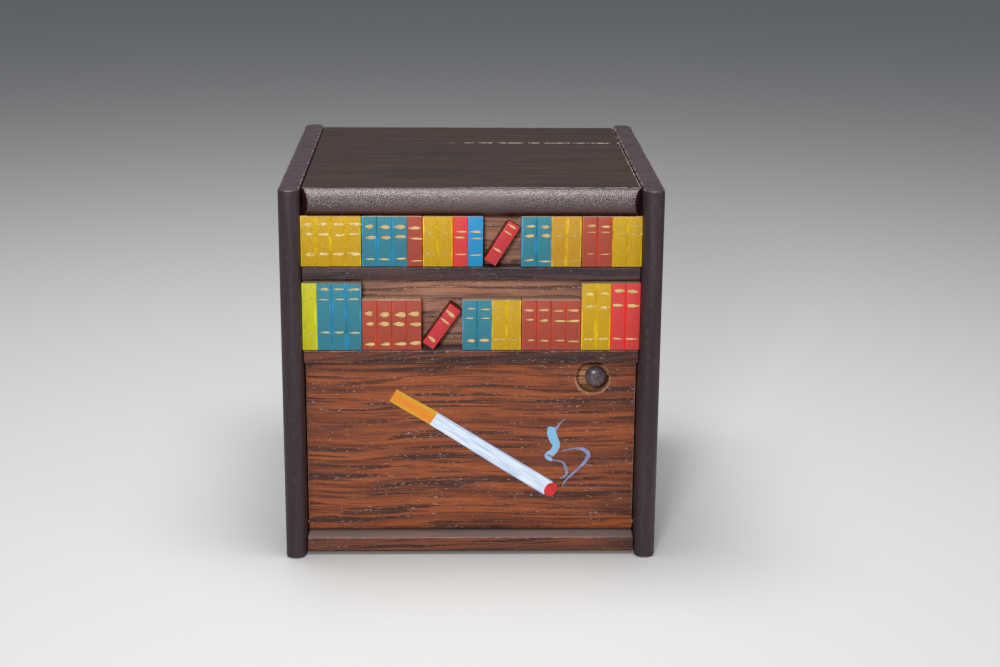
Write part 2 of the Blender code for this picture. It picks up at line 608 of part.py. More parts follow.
def make_flap_keeper():
    """A bracket on the flap's back whose lip stands behind the lower latch's upright tail."""
    tail_tip = LOWER_PIVOT[1] - TAIL_REACH
    floor_top = tail_tip - FLAP_KEEPER_ROOM
    floor_bottom = floor_top - FLAP_KEEPER_FLOOR
    lip_front = LATCH_BACK + RUNNING_GAP
    lip_back = lip_front + FLAP_KEEPER_LIP
    front = FLAP_BACK + GLUE_GAP
    rise = math.hypot(lip_back - FLAP_AXIS_Y, MIDDLE_BOTTOM - FLAP_AXIS_Z) - (MIDDLE_BOTTOM - FLAP_AXIS_Z)
    lip_top = MIDDLE_BOTTOM - rise - RUNNING_GAP
    outline = [(front, floor_bottom), (lip_back, floor_bottom), (lip_back, lip_top),
               (lip_front, lip_top), (lip_front, floor_top), (front, floor_top)]
    width = (LOWER_PIVOT[0] - FLAP_KEEPER_WIDTH / 2, LOWER_PIVOT[0] + FLAP_KEEPER_WIDTH / 2)
    return outline_prism("flap_keeper", outline, "x", width, INNER_WOOD, FLAP_AXIS)


make_flap_board()
hinge_pins("flap", FLAP_AXIS_Y, FLAP_AXIS_Z, FLAP_AXIS)
make_flap_keeper()

# ---------------------------------------------------------------- sliding catch
CATCH_AXIS = joint_empty("catch_slide", (KNOB_X, 0.0, KNOB_HOLE_Z))


def make_catch_guide():
    """Two rails and a cover on the flap's back, in which the slider runs."""
    rail_depth = (FLAP_BACK + GLUE_GAP, SLIDER_BACK)
    rail_width = (SLIDER_LEFT, RAIL_RIGHT)
    upper = (SLIDER_TOP + GLUE_GAP, SLIDER_TOP + GLUE_GAP + UPPER_RAIL_HEIGHT)
    lower = (SLIDER_BOTTOM - GLUE_GAP - LOWER_RAIL_HEIGHT, SLIDER_BOTTOM - GLUE_GAP)
    board("catch_rail_upper", rail_width, rail_depth, upper, INNER_WOOD, FLAP_AXIS)
    board("catch_rail_lower", rail_width, rail_depth, lower, INNER_WOOD, FLAP_AXIS)
    cover_depth = (SLIDER_BACK + FIT_GAP, SLIDER_BACK + FIT_GAP + COVER_THICKNESS)
    board("catch_cover", (TONGUE_RIGHT + COVER_ROOM, SLIDER_RIGHT), cover_depth, (lower[0], upper[1]),
          INNER_WOOD, FLAP_AXIS)


def make_slider():
    """A flat bar with a tongue glued on the back of its left end."""
    height = (SLIDER_BOTTOM, SLIDER_TOP)
    slider = board("catch_slider", (SLIDER_LEFT, SLIDER_RIGHT), (SLIDER_FRONT, SLIDER_BACK), height,
                   INNER_WOOD, CATCH_AXIS)
    drill(slider, "y", (KNOB_X, KNOB_HOLE_Z), KNOB_SHANK_RADIUS + DOWEL_CLEARANCE,
          (SLIDER_FRONT - CUTTER_OVERSHOOT, SLIDER_BACK + CUTTER_OVERSHOOT))
    board("catch_tongue", (TONGUE_LEFT, TONGUE_RIGHT), (TONGUE_FRONT, TONGUE_BACK), height,
          INNER_WOOD, CATCH_AXIS)


def make_knob():
    """A turned knob: shank, cove, rounded head and a small pip at the crown."""
    rim = PANEL_FRONT + KNOB_RIM_DEPTH
    crown = PANEL_FRONT - KNOB_CROWN
    shank_end = SLIDER_BACK - FIT_GAP
    cove_end = rim + KNOB_NECK
    profile = [(0, shank_end), (KNOB_SHANK_RADIUS, shank_end),
               (KNOB_SHANK_RADIUS, (cove_end + SLIDER_FRONT) / 2),
               ((KNOB_SHANK_RADIUS + KNOB_RADIUS) / 2, cove_end), (KNOB_RADIUS, rim)]
    dome_rise = rim - crown - KNOB_PIP_RADIUS / 2
    dome_steps = 6
    for step in range(1, dome_steps):
        angle = math.radians(90 * step / dome_steps)
        profile.append((KNOB_RADIUS * math.cos(angle), rim - dome_rise * math.sin(angle)))
    profile += [(KNOB_PIP_RADIUS, crown + KNOB_PIP_RADIUS / 4), (0, crown)]
    return turned("catch_knob", profile, (KNOB_X, KNOB_HOLE_Z), KNOB_WOOD, CATCH_AXIS)


def make_bolt_keeper():
    """A mortised block under the middle board, into which the tongue slides."""
    right = TONGUE_LEFT - FIT_GAP
    left = right - BOLT_KEEPER_LENGTH
    mortise_depth = (TONGUE_FRONT - FIT_GAP, TONGUE_BACK + FIT_GAP)
    mortise_height = (SLIDER_BOTTOM - FIT_GAP, SLIDER_TOP + FIT_GAP)
    depth = (FLAP_BACK + RUNNING_GAP, mortise_depth[1] + BOLT_KEEPER_WALL)
    height = (mortise_height[0] - BOLT_KEEPER_FLOOR, MIDDLE_BOTTOM - GLUE_GAP)
    keeper = board("bolt_keeper", (left, right), depth, height, INNER_WOOD)
    cutter = board("mortise_for_tongue", (left - CUTTER_OVERSHOOT, right + CUTTER_OVERSHOOT), mortise_depth,
                   mortise_height, None)
    cut(keeper, cutter)
    return keeper


def make_flap_stops():
    """Cleats on the sides that the closed flap rests against."""
    depth = (FLAP_BACK + FIT_GAP, FLAP_BACK + FIT_GAP + STOP_DEPTH)
    height = (BASE_TOP + STOP_BOTTOM, BASE_TOP + STOP_BOTTOM + STOP_HEIGHT)
    for name, sign in (("left", -1), ("right", 1)):
        outer = sign * (HALF_INNER - GLUE_GAP)
        inner = sign * (HALF_INNER - STOP_WIDTH)
        board(f"{name}_flap_stop", (inner, outer), depth, height, INNER_WOOD)


make_catch_guide()
make_slider()
make_knob()
make_bolt_keeper()
make_flap_stops()
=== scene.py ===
# %% [markdown]
# # A puzzle cigarette box in the shape of a bookcase
# The box is a small rosewood case. Two rows of painted book blocks stand over a painted
# panel, and the panel, the lid, two leaning books and a knob all move. The working model is
# loaded first as a fixed frame. Every piece made here takes its place and size from that
# frame, so that nothing has to be fitted afterwards.

# %% Load the working model
import json
import math
import random

import bmesh
import bpy
from mathutils import Matrix, Vector


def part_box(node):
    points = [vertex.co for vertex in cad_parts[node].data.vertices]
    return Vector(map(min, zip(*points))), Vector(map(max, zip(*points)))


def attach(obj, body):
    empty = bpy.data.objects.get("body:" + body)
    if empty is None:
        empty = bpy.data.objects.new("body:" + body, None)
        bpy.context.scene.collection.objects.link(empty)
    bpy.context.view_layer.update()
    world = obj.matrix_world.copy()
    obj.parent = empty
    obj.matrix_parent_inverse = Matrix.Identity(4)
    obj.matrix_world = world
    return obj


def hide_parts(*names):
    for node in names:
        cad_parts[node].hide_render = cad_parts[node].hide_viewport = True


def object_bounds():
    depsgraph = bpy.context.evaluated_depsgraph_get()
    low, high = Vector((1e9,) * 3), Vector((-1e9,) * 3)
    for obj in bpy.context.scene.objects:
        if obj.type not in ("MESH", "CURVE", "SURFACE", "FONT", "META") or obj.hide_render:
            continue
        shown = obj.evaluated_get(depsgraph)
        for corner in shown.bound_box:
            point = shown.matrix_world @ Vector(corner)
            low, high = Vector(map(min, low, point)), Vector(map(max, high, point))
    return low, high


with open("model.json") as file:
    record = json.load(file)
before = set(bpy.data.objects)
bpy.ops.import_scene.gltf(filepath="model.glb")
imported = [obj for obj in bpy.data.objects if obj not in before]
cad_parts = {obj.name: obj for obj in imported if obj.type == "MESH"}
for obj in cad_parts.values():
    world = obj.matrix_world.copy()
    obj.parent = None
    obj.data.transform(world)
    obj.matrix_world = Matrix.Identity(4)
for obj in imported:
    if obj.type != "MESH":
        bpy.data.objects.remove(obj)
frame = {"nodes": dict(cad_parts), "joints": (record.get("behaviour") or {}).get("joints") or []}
cad_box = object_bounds()
MM = 0.001
chance = random.Random(11)

# %% [markdown]
# ## Camera
# A small box is usually looked at from the front and a little above, with a long lens, so
# that its upright edges stay nearly parallel. The camera stands a hand's width over half a
# metre away, tips down by about sixteen degrees, and is very slightly out of true. The view
# transform is Standard, so that paint shows in the colour that it was given.

# %% Place the camera
CAMERA_PLACE = Vector((-5.8, -569.6, 215.2)) * MM
CAMERA_TIP_DOWN = 0.2771  # radians, like the two below
CAMERA_TURN = -0.0271
CAMERA_ROLL = 0.0075
CAMERA_LENS = 67.35       # millimetres

bpy.context.scene.view_settings.view_transform = "Standard"
bpy.ops.object.select_all(action="DESELECT")
bpy.ops.object.camera_add()
camera = bpy.context.object
camera.name = "camera"
camera.matrix_world = (
    Matrix.Translation(CAMERA_PLACE)
    @ Matrix.Rotation(CAMERA_TURN, 4, "Z")
    @ Matrix.Rotation(math.pi / 2 - CAMERA_TIP_DOWN, 4, "X")
    @ Matrix.Rotation(CAMERA_ROLL, 4, "Z")
)
camera.data.lens = CAMERA_LENS
camera.data.clip_start = 0.01
bpy.context.scene.camera = camera
print("the camera looks down by", round(math.degrees(CAMERA_TIP_DOWN), 1), "degrees")

# %% [markdown]
# ## Floor
# The box stands on a plain pale floor, which runs far enough back to fill the view. It is
# not part of the box. It is matte, so that the box's soft shadow is all that shows on it.

# %% Lay the floor
FLOOR_SIZE = 8.0
FLOOR_MIDDLE = 1.5        # how far the floor's middle lies behind the box
FLOOR_COLOUR = (0.50, 0.495, 0.485, 1.0)

bpy.ops.mesh.primitive_plane_add(size=FLOOR_SIZE, location=(0.0, FLOOR_MIDDLE, cad_box[0].z))
floor = bpy.context.object
floor.name = "floor"
floor_paint = bpy.data.materials.new("floor_paint")
floor_paint.use_nodes = True
floor_shader = floor_paint.node_tree.nodes["Principled BSDF"]
floor_shader.inputs["Base Color"].default_value = FLOOR_COLOUR
floor_shader.inputs["Roughness"].default_value = 0.7
floor.data.materials.append(floor_paint)
print("the floor is", FLOOR_SIZE, "metres wide")

# %% [markdown]
# ## Light
# Polished wood shows the lamps as highlights. A small lamp near the lens, above it and to
# its left, lights the front and throws the thin dark lines under the shelves. A wide
# softbox straight above draws the light band along the half-round nose of the lid, and a
# weak one at the side keeps the case from going black. The wood is dark, so the world adds
# only a little cool light.

# %% Hang the softboxes
def add_softbox(name, place, width, depth, power):
    """A rectangular lamp at a place in metres, aimed at the middle of the box."""
    bpy.ops.object.light_add(type="AREA", location=place)
    lamp = bpy.context.object
    lamp.name = name
    lamp.data.shape = "RECTANGLE"
    lamp.data.size = width
    lamp.data.size_y = depth
    lamp.data.energy = power
    middle = (cad_box[0] + cad_box[1]) / 2
    lamp.rotation_euler = (middle - Vector(place)).to_track_quat("-Z", "Y").to_euler()
    print(name, power, "W")
    return lamp


add_softbox("lens_lamp", (-0.10, -0.62, 0.30), 0.10, 0.10, 2.5)
add_softbox("overhead_softbox", (-0.02, -0.02, 0.60), 0.45, 0.26, 4.7)
add_softbox("side_softbox", (0.75, -0.40, 0.40), 0.40, 0.40, 0.7)

COOL_LIGHT = (0.80, 0.86, 0.95, 1.0)
ROOM_STRENGTH = 0.22

world = bpy.data.worlds.new("studio")
world.use_nodes = True
world.node_tree.nodes["Background"].inputs["Color"].default_value = COOL_LIGHT
world.node_tree.nodes["Background"].inputs["Strength"].default_value = ROOM_STRENGTH
bpy.context.scene.world = world

# %% [markdown]
# ## Building shader nodes
# The finishes below are trees of shader nodes. Writing out every link by hand would hide
# what a tree does, so a few short helpers add a node, feed it, and hand back its output.

# %% Helpers that add nodes
def colour(red, green, blue):
    """A colour given as it looks on a screen, 0 to 255, as the linear colour that nodes take."""
    shares = [channel / 255 for channel in (red, green, blue)]
    linear = [s / 12.92 if s <= 0.04045 else ((s + 0.055) / 1.055) ** 2.4 for s in shares]
    return (*linear, 1.0)


def add_node(tree, kind, feeds, **settings):
    """Adds a node; feeds gives its inputs a value, or the socket that drives them."""
    node = tree.nodes.new(kind)
    for name, value in settings.items():
        setattr(node, name, value)
    for name, value in feeds.items():
        if isinstance(value, bpy.types.NodeSocket):
            tree.links.new(value, node.inputs[name])
        else:
            node.inputs[name].default_value = value
    return node


def maths(tree, operation, first, second=0.0):
    """One sum on values."""
    node = add_node(tree, "ShaderNodeMath", {0: first, 1: second}, operation=operation)
    return node.outputs[0]


def fade(tree, value, start, end):
    """0 at start and 1 at end, with a smooth step between them."""
    feeds = {"Value": value, "From Min": start, "From Max": end}
    node = add_node(tree, "ShaderNodeMapRange", feeds, interpolation_type="SMOOTHSTEP")
    return node.outputs["Result"]


def mix(tree, share, first, second):
    """A blend of two colours."""
    node = tree.nodes.new("ShaderNodeMix")
    node.data_type = "RGBA"
    for socket, value in ((node.inputs[0], share), (node.inputs[6], first), (node.inputs[7], second)):
        if isinstance(value, bpy.types.NodeSocket):
            tree.links.new(value, socket)
        else:
            socket.default_value = value
    return node.outputs[2]


def stretch(tree, vector, along, across):
    """Coordinates in which one unit is so many millimetres along X, and across it."""
    feeds = {0: vector, 1: (1 / along, 1 / across, 1 / across)}
    return add_node(tree, "ShaderNodeVectorMath", feeds, operation="MULTIPLY").outputs[0]


def cloud(tree, vector, detail=2.0, rough=0.5, twist=0.0):
    """Soft random patches, 0 to 1."""
    feeds = {"Vector": vector, "Scale": 1.0, "Detail": detail, "Roughness": rough, "Distortion": twist}
    return add_node(tree, "ShaderNodeTexNoise", feeds).outputs["Fac"]


def shader_group(name, inputs, outputs):
    """An empty group of nodes with named inputs, their usual values, and named value outputs."""
    tree = bpy.data.node_groups.new(name, "ShaderNodeTree")
    for label, usual in inputs.items():
        kind = "NodeSocketVector" if isinstance(usual, tuple) else "NodeSocketFloat"
        tree.interface.new_socket(label, in_out="INPUT", socket_type=kind).default_value = usual
    for label in outputs:
        tree.interface.new_socket(label, in_out="OUTPUT", socket_type="NodeSocketFloat")
    return tree, tree.nodes.new("NodeGroupInput").outputs, tree.nodes.new("NodeGroupOutput").inputs


def use_group(tree, group, feeds):
    """Places a group in a material and returns its outputs."""
    node = tree.nodes.new("ShaderNodeGroup")
    node.node_tree = group
    for name, value in feeds.items():
        if isinstance(value, bpy.types.NodeSocket):
            tree.links.new(value, node.inputs[name])
        else:
            node.inputs[name].default_value = value
    return node.outputs


print("node helpers are ready")

# %% [markdown]
# ## Rosewood grain
# Rosewood is a dark, open-pored wood. Broad bands of colour run with the grain, thin dark
# lines lie between them, and the pores are short dashes. Some pores are dark. Pale flecks
# stand partly for wax and dust in the pores and partly for painted glints, where the lamps
# catch the pores' lips. All of it can be made from noise that is stretched along the grain,
# and because it is solid noise in millimetres it carries round the corners of a board.

# %% The grain group
CROWDING = 0.16           # how strongly pores gather where the grain is dense
ELSEWHERE = (71.0, 37.0, 53.0)   # so far along that flecks don't fall on the pores


def dashes(tree, vector, along, across, share, crowd):
    """Short ragged dashes where stretched noise is high; crowd gathers them into patches."""
    noise = cloud(tree, stretch(tree, vector, along, across), 2.0, 0.6)
    raised = maths(tree, "ADD", noise, maths(tree, "MULTIPLY", crowd, CROWDING))
    return fade(tree, raised, share, share + 0.05)


def make_grain_group():
    """Grain along X. Gives masks for bands, lines, pores, pale flecks that are wax and painted glints, and a
    height.
    """
    labels = ("Bands", "Lines", "Pores", "Wax_and_glints", "Height")
    tree, given, result = shader_group("rosewood_grain", {"Vector": (0.0, 0.0, 0.0)}, labels)
    sway = cloud(tree, stretch(tree, given["Vector"], 42.0, 80.0), 1.0)
    lift = add_node(tree, "ShaderNodeCombineXYZ", {"Z": maths(tree, "MULTIPLY", sway, 3.6)})
    vector = add_node(tree, "ShaderNodeVectorMath", {0: given["Vector"], 1: lift.outputs[0]},
                      operation="ADD").outputs[0]
    bands = cloud(tree, stretch(tree, vector, 60.0, 2.8), 3.0, 0.6, 0.3)
    tree.links.new(fade(tree, bands, 0.38, 0.64), result["Bands"])

    fine = cloud(tree, stretch(tree, vector, 15.0, 0.52), 2.0, 0.55)
    bold = cloud(tree, stretch(tree, vector, 28.0, 1.05), 2.0, 0.5, 0.2)
    lines = maths(tree, "MAXIMUM", maths(tree, "MULTIPLY", fade(tree, fine, 0.52, 0.62), 0.7),
                  fade(tree, bold, 0.555, 0.61))
    tree.links.new(lines, result["Lines"])

    crowd = maths(tree, "ADD", cloud(tree, stretch(tree, vector, 8.0, 1.6), 1.0),
                  maths(tree, "MULTIPLY", lines, 0.3))
    pores = dashes(tree, vector, 2.0, 0.40, 0.715, crowd)
    elsewhere = add_node(tree, "ShaderNodeVectorMath", {0: vector, 1: ELSEWHERE}, operation="ADD")
    # Pale flecks: partly wax in the pores, partly painted glints of the lamps on the pores' lips.
    wax_and_glints = dashes(tree, elsewhere.outputs[0], 1.15, 0.32, 0.765, crowd)
    tree.links.new(pores, result["Pores"])
    tree.links.new(wax_and_glints, result["Wax_and_glints"])

    fibre = cloud(tree, stretch(tree, vector, 4.0, 0.16), 2.0)
    height = maths(tree, "SUBTRACT", maths(tree, "MULTIPLY", fibre, 0.4), maths(tree, "MULTIPLY", pores, 0.7))
    height = maths(tree, "SUBTRACT", height, maths(tree, "MULTIPLY", lines, 0.3))
    tree.links.new(height, result["Height"])
    return tree


rosewood_grain = make_grain_group()
print("group", rosewood_grain.name, "with", len(rosewood_grain.nodes), "nodes")

# %% [markdown]
# ## Worn and lit edges
# Hands rub the polish off the edges of a box first, and the same edges catch the lamps. This
# mask paints both the wear and a painted highlight: the bright crescents on the rounded top
# front corners of the sides, and the bright line where the lid meets the back strip. An edge
# is where two faces of a board meet, so a point is near an edge when its second smallest
# distance to the board's faces is small. The group works that out from the board's two
# opposite corners, and roughens it with noise so that the wear and highlight come and go.

# %% The edge wear and painted highlight group
def make_wear_and_highlight_group():
    """A mask that is 1 on a board's edges; Low and High are its corners in millimetres."""
    inputs = {"Vector": (0.0, 0.0, 0.0), "Low": (0.0, 0.0, 0.0), "High": (1.0, 1.0, 1.0), "Width": 0.6}
    tree, given, result = shader_group("edge_wear_and_highlight", inputs, ("Worn_and_lit",))
    from_low = add_node(tree, "ShaderNodeVectorMath", {0: given["Vector"], 1: given["Low"]},
                        operation="SUBTRACT").outputs[0]
    from_high = add_node(tree, "ShaderNodeVectorMath", {0: given["High"], 1: given["Vector"]},
                         operation="SUBTRACT").outputs[0]
    nearest = add_node(tree, "ShaderNodeVectorMath", {0: from_low, 1: from_high},
                       operation="MINIMUM").outputs[0]
    x, y, z = add_node(tree, "ShaderNodeSeparateXYZ", {0: nearest}).outputs
    smaller, larger = maths(tree, "MINIMUM", x, y), maths(tree, "MAXIMUM", x, y)
    second = maths(tree, "MAXIMUM", smaller, maths(tree, "MINIMUM", larger, z))
    rough = cloud(tree, stretch(tree, given["Vector"], 2.4, 2.4), 3.0, 0.7)
    reach = maths(tree, "MULTIPLY", given["Width"], fade(tree, rough, 0.34, 0.72))
    tree.links.new(fade(tree, second, reach, 0.0), result["Worn_and_lit"])
    return tree


edge_wear_and_highlight = make_wear_and_highlight_group()
print("group", edge_wear_and_highlight.name, "with", len(edge_wear_and_highlight.nodes), "nodes")

# %% [markdown]
# ## Wooden finishes
# Every board of the case is the same kind of wood, but each was cut from its own place in
# the plank and polished and handled in its own way. One function makes a finish from the
# two groups. Each board gets its own finish, with its own seed, grain direction, colours
# and corners, as no two boards of a real box match.

# %% Masks for worn and lit edges, the rim of a hole, and dust
ACROSS = (0.0, 0.0, 0.0)
UPRIGHT = (0.0, math.radians(90), 0.0)


def start_material(name):
    """A new material's tree, its shader and its object coordinates in millimetres."""
    material = bpy.data.materials.new(name)
    material.use_nodes = True
    tree = material.node_tree
    place = add_node(tree, "ShaderNodeTexCoord", {}).outputs["Object"]
    in_mm = add_node(tree, "ShaderNodeVectorMath", {0: place, 1: (1 / MM,) * 3}, operation="MULTIPLY")
    return material, tree, tree.nodes["Principled BSDF"], in_mm.outputs[0]


def add_bump(tree, shader, height, depth, strength=0.6):
    """Feeds a height, in millimetres at 1, to the shader's normal."""
    bump = add_node(tree, "ShaderNodeBump", {"Height": height, "Strength": strength, "Distance": depth * MM})
    tree.links.new(bump.outputs[0], shader.inputs["Normal"])


# The worn edges are also a painted highlight, so these two limits shape both.
MOST_WEAR_AND_HIGHLIGHT = 0.75          # even a worn edge keeps some of the wood's own colour
WEAR_AND_HIGHLIGHT_COMES_IN = 20.0      # a limited wear fades in over so many millimetres
DUST_COLOUR = (150, 138, 134)
LIT_BARE_RIM = (166, 124, 94)


def worn_and_lit_edges(tree, in_mm, node, width, worn_and_lit_from):
    """A mask for a board's worn edges, which also paints their highlight, or only for those to the right of a
    place.
    """
    low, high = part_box(node)
    corners = {"Vector": in_mm, "Low": low / MM, "High": high / MM, "Width": width}
    # This mask is both the rubbed wear and the painted highlight of the edges.
    rubbed = maths(tree, "MULTIPLY", use_group(tree, edge_wear_and_highlight, corners)["Worn_and_lit"], MOST_WEAR_AND_HIGHLIGHT)
    if worn_and_lit_from is None:
        return rubbed
    x = add_node(tree, "ShaderNodeSeparateXYZ", {0: in_mm}).outputs[0]
    begins = worn_and_lit_from - 0.6 * WEAR_AND_HIGHLIGHT_COMES_IN
    return maths(tree, "MULTIPLY", rubbed, fade(tree, x, begins, begins + WEAR_AND_HIGHLIGHT_COMES_IN))


def rubbed_and_lit_rim(tree, in_mm, centre_x, centre_z, radius):
    """A mask for the rubbed rim of a hole: ragged, patchy, and wider at its lower side as painted light on
    the lit lower wall.
    """
    x, _, z = add_node(tree, "ShaderNodeSeparateXYZ", {0: in_mm}).outputs
    aside = maths(tree, "SUBTRACT", x, centre_x)
    above = maths(tree, "SUBTRACT", z, centre_z)
    squares = maths(tree, "ADD", maths(tree, "MULTIPLY", aside, aside), maths(tree, "MULTIPLY", above, above))
    out = maths(tree, "SQRT", squares)
    ragged = maths(tree, "MULTIPLY", cloud(tree, stretch(tree, in_mm, 1.2, 1.2), 3.0), 1.5)
    # The lower side is widened as painted light on the hole's lit lower wall.
    lower = maths(tree, "MULTIPLY", fade(tree, above, 1.5, -3.5), ragged)
    rim = fade(tree, maths(tree, "SUBTRACT", out, lower), radius + 0.15, radius - 0.15)
    patchy = fade(tree, cloud(tree, stretch(tree, in_mm, 0.8, 0.5), 3.0, 0.7), 0.30, 0.62)
    return maths(tree, "MULTIPLY", rim, patchy)


def settled_dust(tree, dust):
    """A mask for dust, which lies only on faces that look up."""
    normal = add_node(tree, "ShaderNodeTexCoord", {}).outputs["Normal"]
    upward = add_node(tree, "ShaderNodeSeparateXYZ", {0: normal}).outputs[2]
    return maths(tree, "MULTIPLY", fade(tree, upward, 0.6, 0.95), dust)


print("masks for wear and dust are ready")

# %% One function for all the wooden finishes
def wood(name, node, grain, light, dark, line, pore, wax_glint, worn_and_lit, roughness,
         wear_and_highlight_width=0.5, line_share=0.85, pore_share=0.7, wax_glint_share=0.8, tilt=0.0, depth=0.05,
         worn_and_lit_from=None, hole=None, orange_peel=0.0, dust=0.0, shine=0.3):
    """A polished wooden finish for one board. Colours are screen colours.

    worn_and_lit_from limits the worn edges to the right of a place, and hole is the centre and
    radius of a hole whose rim fingers have rubbed bare. Both are in millimetres. The worn
    colour is partly wear and partly a painted highlight on edges that catch the lamps. The
    hole's rim is wider at its lower side, as painted light on its lit lower wall. The fleck
    colour is partly wax and partly painted glints. orange_peel is how strongly dried varnish
    dimples the surface, where it fills the grain, and dust is how grey its top has gone.
    """
    material, tree, shader, in_mm = start_material(name)
    turn = Vector(grain) + Vector((0.0, math.radians(tilt), 0.0))
    seed = Vector([chance.uniform(-400, 400) for _ in range(3)])
    mapped = add_node(tree, "ShaderNodeMapping", {"Vector": in_mm, "Rotation": turn, "Location": seed})
    grained = use_group(tree, rosewood_grain, {"Vector": mapped.outputs[0]})
    tint = mix(tree, grained["Bands"], colour(*light), colour(*dark))
    # The pale fleck layer is wax and painted glints; lines and pores are grain.
    layers = (("Lines", line_share, line), ("Pores", pore_share, pore), ("Wax_and_glints", wax_glint_share, wax_glint))
    for mask, share, tone in layers:
        tint = mix(tree, maths(tree, "MULTIPLY", grained[mask], share), tint, colour(*tone))
    # Edges: wear, and a painted highlight where they catch the lamps.
    tint = mix(tree, worn_and_lit_edges(tree, in_mm, node, wear_and_highlight_width, worn_and_lit_from), tint, colour(*worn_and_lit))
    # The hole's rim: rubbed bare, with painted light on its lower wall.
    if hole is not None:
        tint = mix(tree, rubbed_and_lit_rim(tree, in_mm, *hole), tint, colour(*LIT_BARE_RIM))
    if dust:
        tint = mix(tree, settled_dust(tree, dust), tint, colour(*DUST_COLOUR))
    tree.links.new(tint, shader.inputs["Base Color"])

    shader.inputs["Specular IOR Level"].default_value = shine
    smear = cloud(tree, stretch(tree, mapped.outputs[0], 14.0, 9.0), 2.0)
    gloss = maths(tree, "ADD", maths(tree, "MULTIPLY", smear, 0.22), roughness - 0.11)
    gloss = maths(tree, "ADD", gloss, maths(tree, "MULTIPLY", grained["Pores"], 0.2))
    tree.links.new(gloss, shader.inputs["Roughness"])

    dimples = cloud(tree, stretch(tree, in_mm, 0.42, 0.42), 2.0, 0.6)
    grain_height = maths(tree, "MULTIPLY", grained["Height"], 0.15 if orange_peel else 1.0)
    height = maths(tree, "ADD", grain_height, maths(tree, "MULTIPLY", dimples, orange_peel))
    add_bump(tree, shader, height, depth)
    return material


print("one function makes all the wooden finishes")

# %% The woods of the box
PANEL = dict(light=(152, 78, 38), dark=(108, 54, 31), line=(50, 27, 23), pore=(96, 70, 72),
             wax_glint=(180, 162, 158), worn_and_lit=(176, 140, 112), roughness=0.42)
BOOK_PANEL = dict(light=(172, 120, 94), dark=(134, 96, 82), line=(76, 50, 44), pore=(136, 110, 106),
                  wax_glint=(222, 196, 180), worn_and_lit=(176, 140, 112), roughness=0.46)
SHELF = dict(light=(106, 54, 34), dark=(60, 36, 31), line=(34, 22, 21), pore=(72, 54, 56),
             wax_glint=(160, 134, 126), worn_and_lit=(150, 116, 96), roughness=0.38)
RAIL = dict(SHELF, light=(120, 64, 40), dark=(72, 43, 35))
DARK_SHELF = dict(light=(74, 50, 47), dark=(50, 37, 41), line=(34, 24, 27), pore=(78, 68, 78),
                  wax_glint=(146, 128, 132), worn_and_lit=(120, 96, 90), roughness=0.38)
SIDE = dict(light=(60, 45, 49), dark=(46, 35, 40), line=(36, 26, 31), pore=(76, 62, 68),
            wax_glint=(98, 84, 90), worn_and_lit=(160, 126, 116), roughness=0.46, line_share=0.4, wax_glint_share=0.5)
# The top's pale edge colour is partly wear and partly a painted highlight: the bright line along the lid's
# back edge.
TOP = dict(light=(52, 35, 28), dark=(37, 26, 22), line=(26, 17, 15), pore=(50, 40, 36),
           wax_glint=(78, 66, 60), worn_and_lit=(190, 175, 168), roughness=0.46, line_share=0.45, wax_glint_share=0.4,
           shine=0.2)
NOSE = dict(light=(60, 20, 16), dark=(46, 16, 14), line=(36, 13, 12), pore=(52, 30, 30),
            wax_glint=(110, 84, 84), worn_and_lit=(150, 112, 104), roughness=0.34, line_share=0.4,
            wax_glint_share=0.3, shine=1.0, wear_and_highlight_width=0.14)
INNER = dict(light=(158, 98, 58), dark=(122, 74, 46), line=(88, 54, 38), pore=(100, 70, 52),
             wax_glint=(180, 136, 98), worn_and_lit=(186, 142, 104), roughness=0.6, wax_glint_share=0.5)
print("wood finishes are ready")

# %% [markdown]
# ## Finishing the boards
# Boards whose shape is right keep their node from the working model. Three modifiers make
# them look made by hand. Weld joins the loose triangles, Bevel eases the sharp edges so
# that they catch the light, which real edges always do, and Weighted Normal keeps the flat
# faces flat beside the eased edges.

# %% Ease and finish a node of the working model
WELD_REACH = 0.01 * MM
SHARPEST = math.radians(50)


def finish_node(node, material, ease=0.2):
    """Gives a node its finish and softens its edges by so many millimetres."""
    piece = frame["nodes"][node]
    piece.data.materials.clear()
    piece.data.materials.append(material)
    weld = piece.modifiers.new("weld", "WELD")
    weld.merge_threshold = WELD_REACH
    bevel = piece.modifiers.new("eased_edges", "BEVEL")
    bevel.width = ease * MM
    bevel.segments = 2
    bevel.limit_method = "ANGLE"
    bevel.angle_limit = SHARPEST
    piece.modifiers.new("even_shading", "WEIGHTED_NORMAL")


# The sides' wide pale edges paint the bright crescent highlight on their rounded top front corners, as well
# as wear.
finish_node("left_side", wood("left_side_wood", "left_side", UPRIGHT, wear_and_highlight_width=0.9, **SIDE), 0.12)
finish_node("right_side", wood("right_side_wood", "right_side", UPRIGHT, wear_and_highlight_width=0.9, **SIDE), 0.12)
finish_node("base_board", wood("base_board_wood", "base_board", ACROSS, tilt=2.0, dust=0.5, **RAIL), 0.3)
finish_node("middle_board",
            wood("middle_board_wood", "middle_board", ACROSS, tilt=5.0, dust=0.3, **SHELF), 0.3)
finish_node("upper_shelf", wood("upper_shelf_wood", "upper_shelf", ACROSS, **DARK_SHELF), 0.3)
finish_node("book_panel", wood("book_panel_wood", "book_panel", ACROSS, **BOOK_PANEL))
finish_node("back_panel", wood("back_panel_wood", "back_panel", ACROSS, **TOP))
# On the strip and the lid the pale edges right of the middle are partly wear and partly the painted highlight
# where the two meet.
finish_node("rear_top_strip", wood("rear_strip_wood", "rear_top_strip", ACROSS, worn_and_lit_from=0.0, **TOP), 0.25)
finish_node("lid_board", wood("lid_wood", "lid_board", ACROSS, worn_and_lit_from=0.0, **TOP), 0.25)
print("the boards of the case are finished")

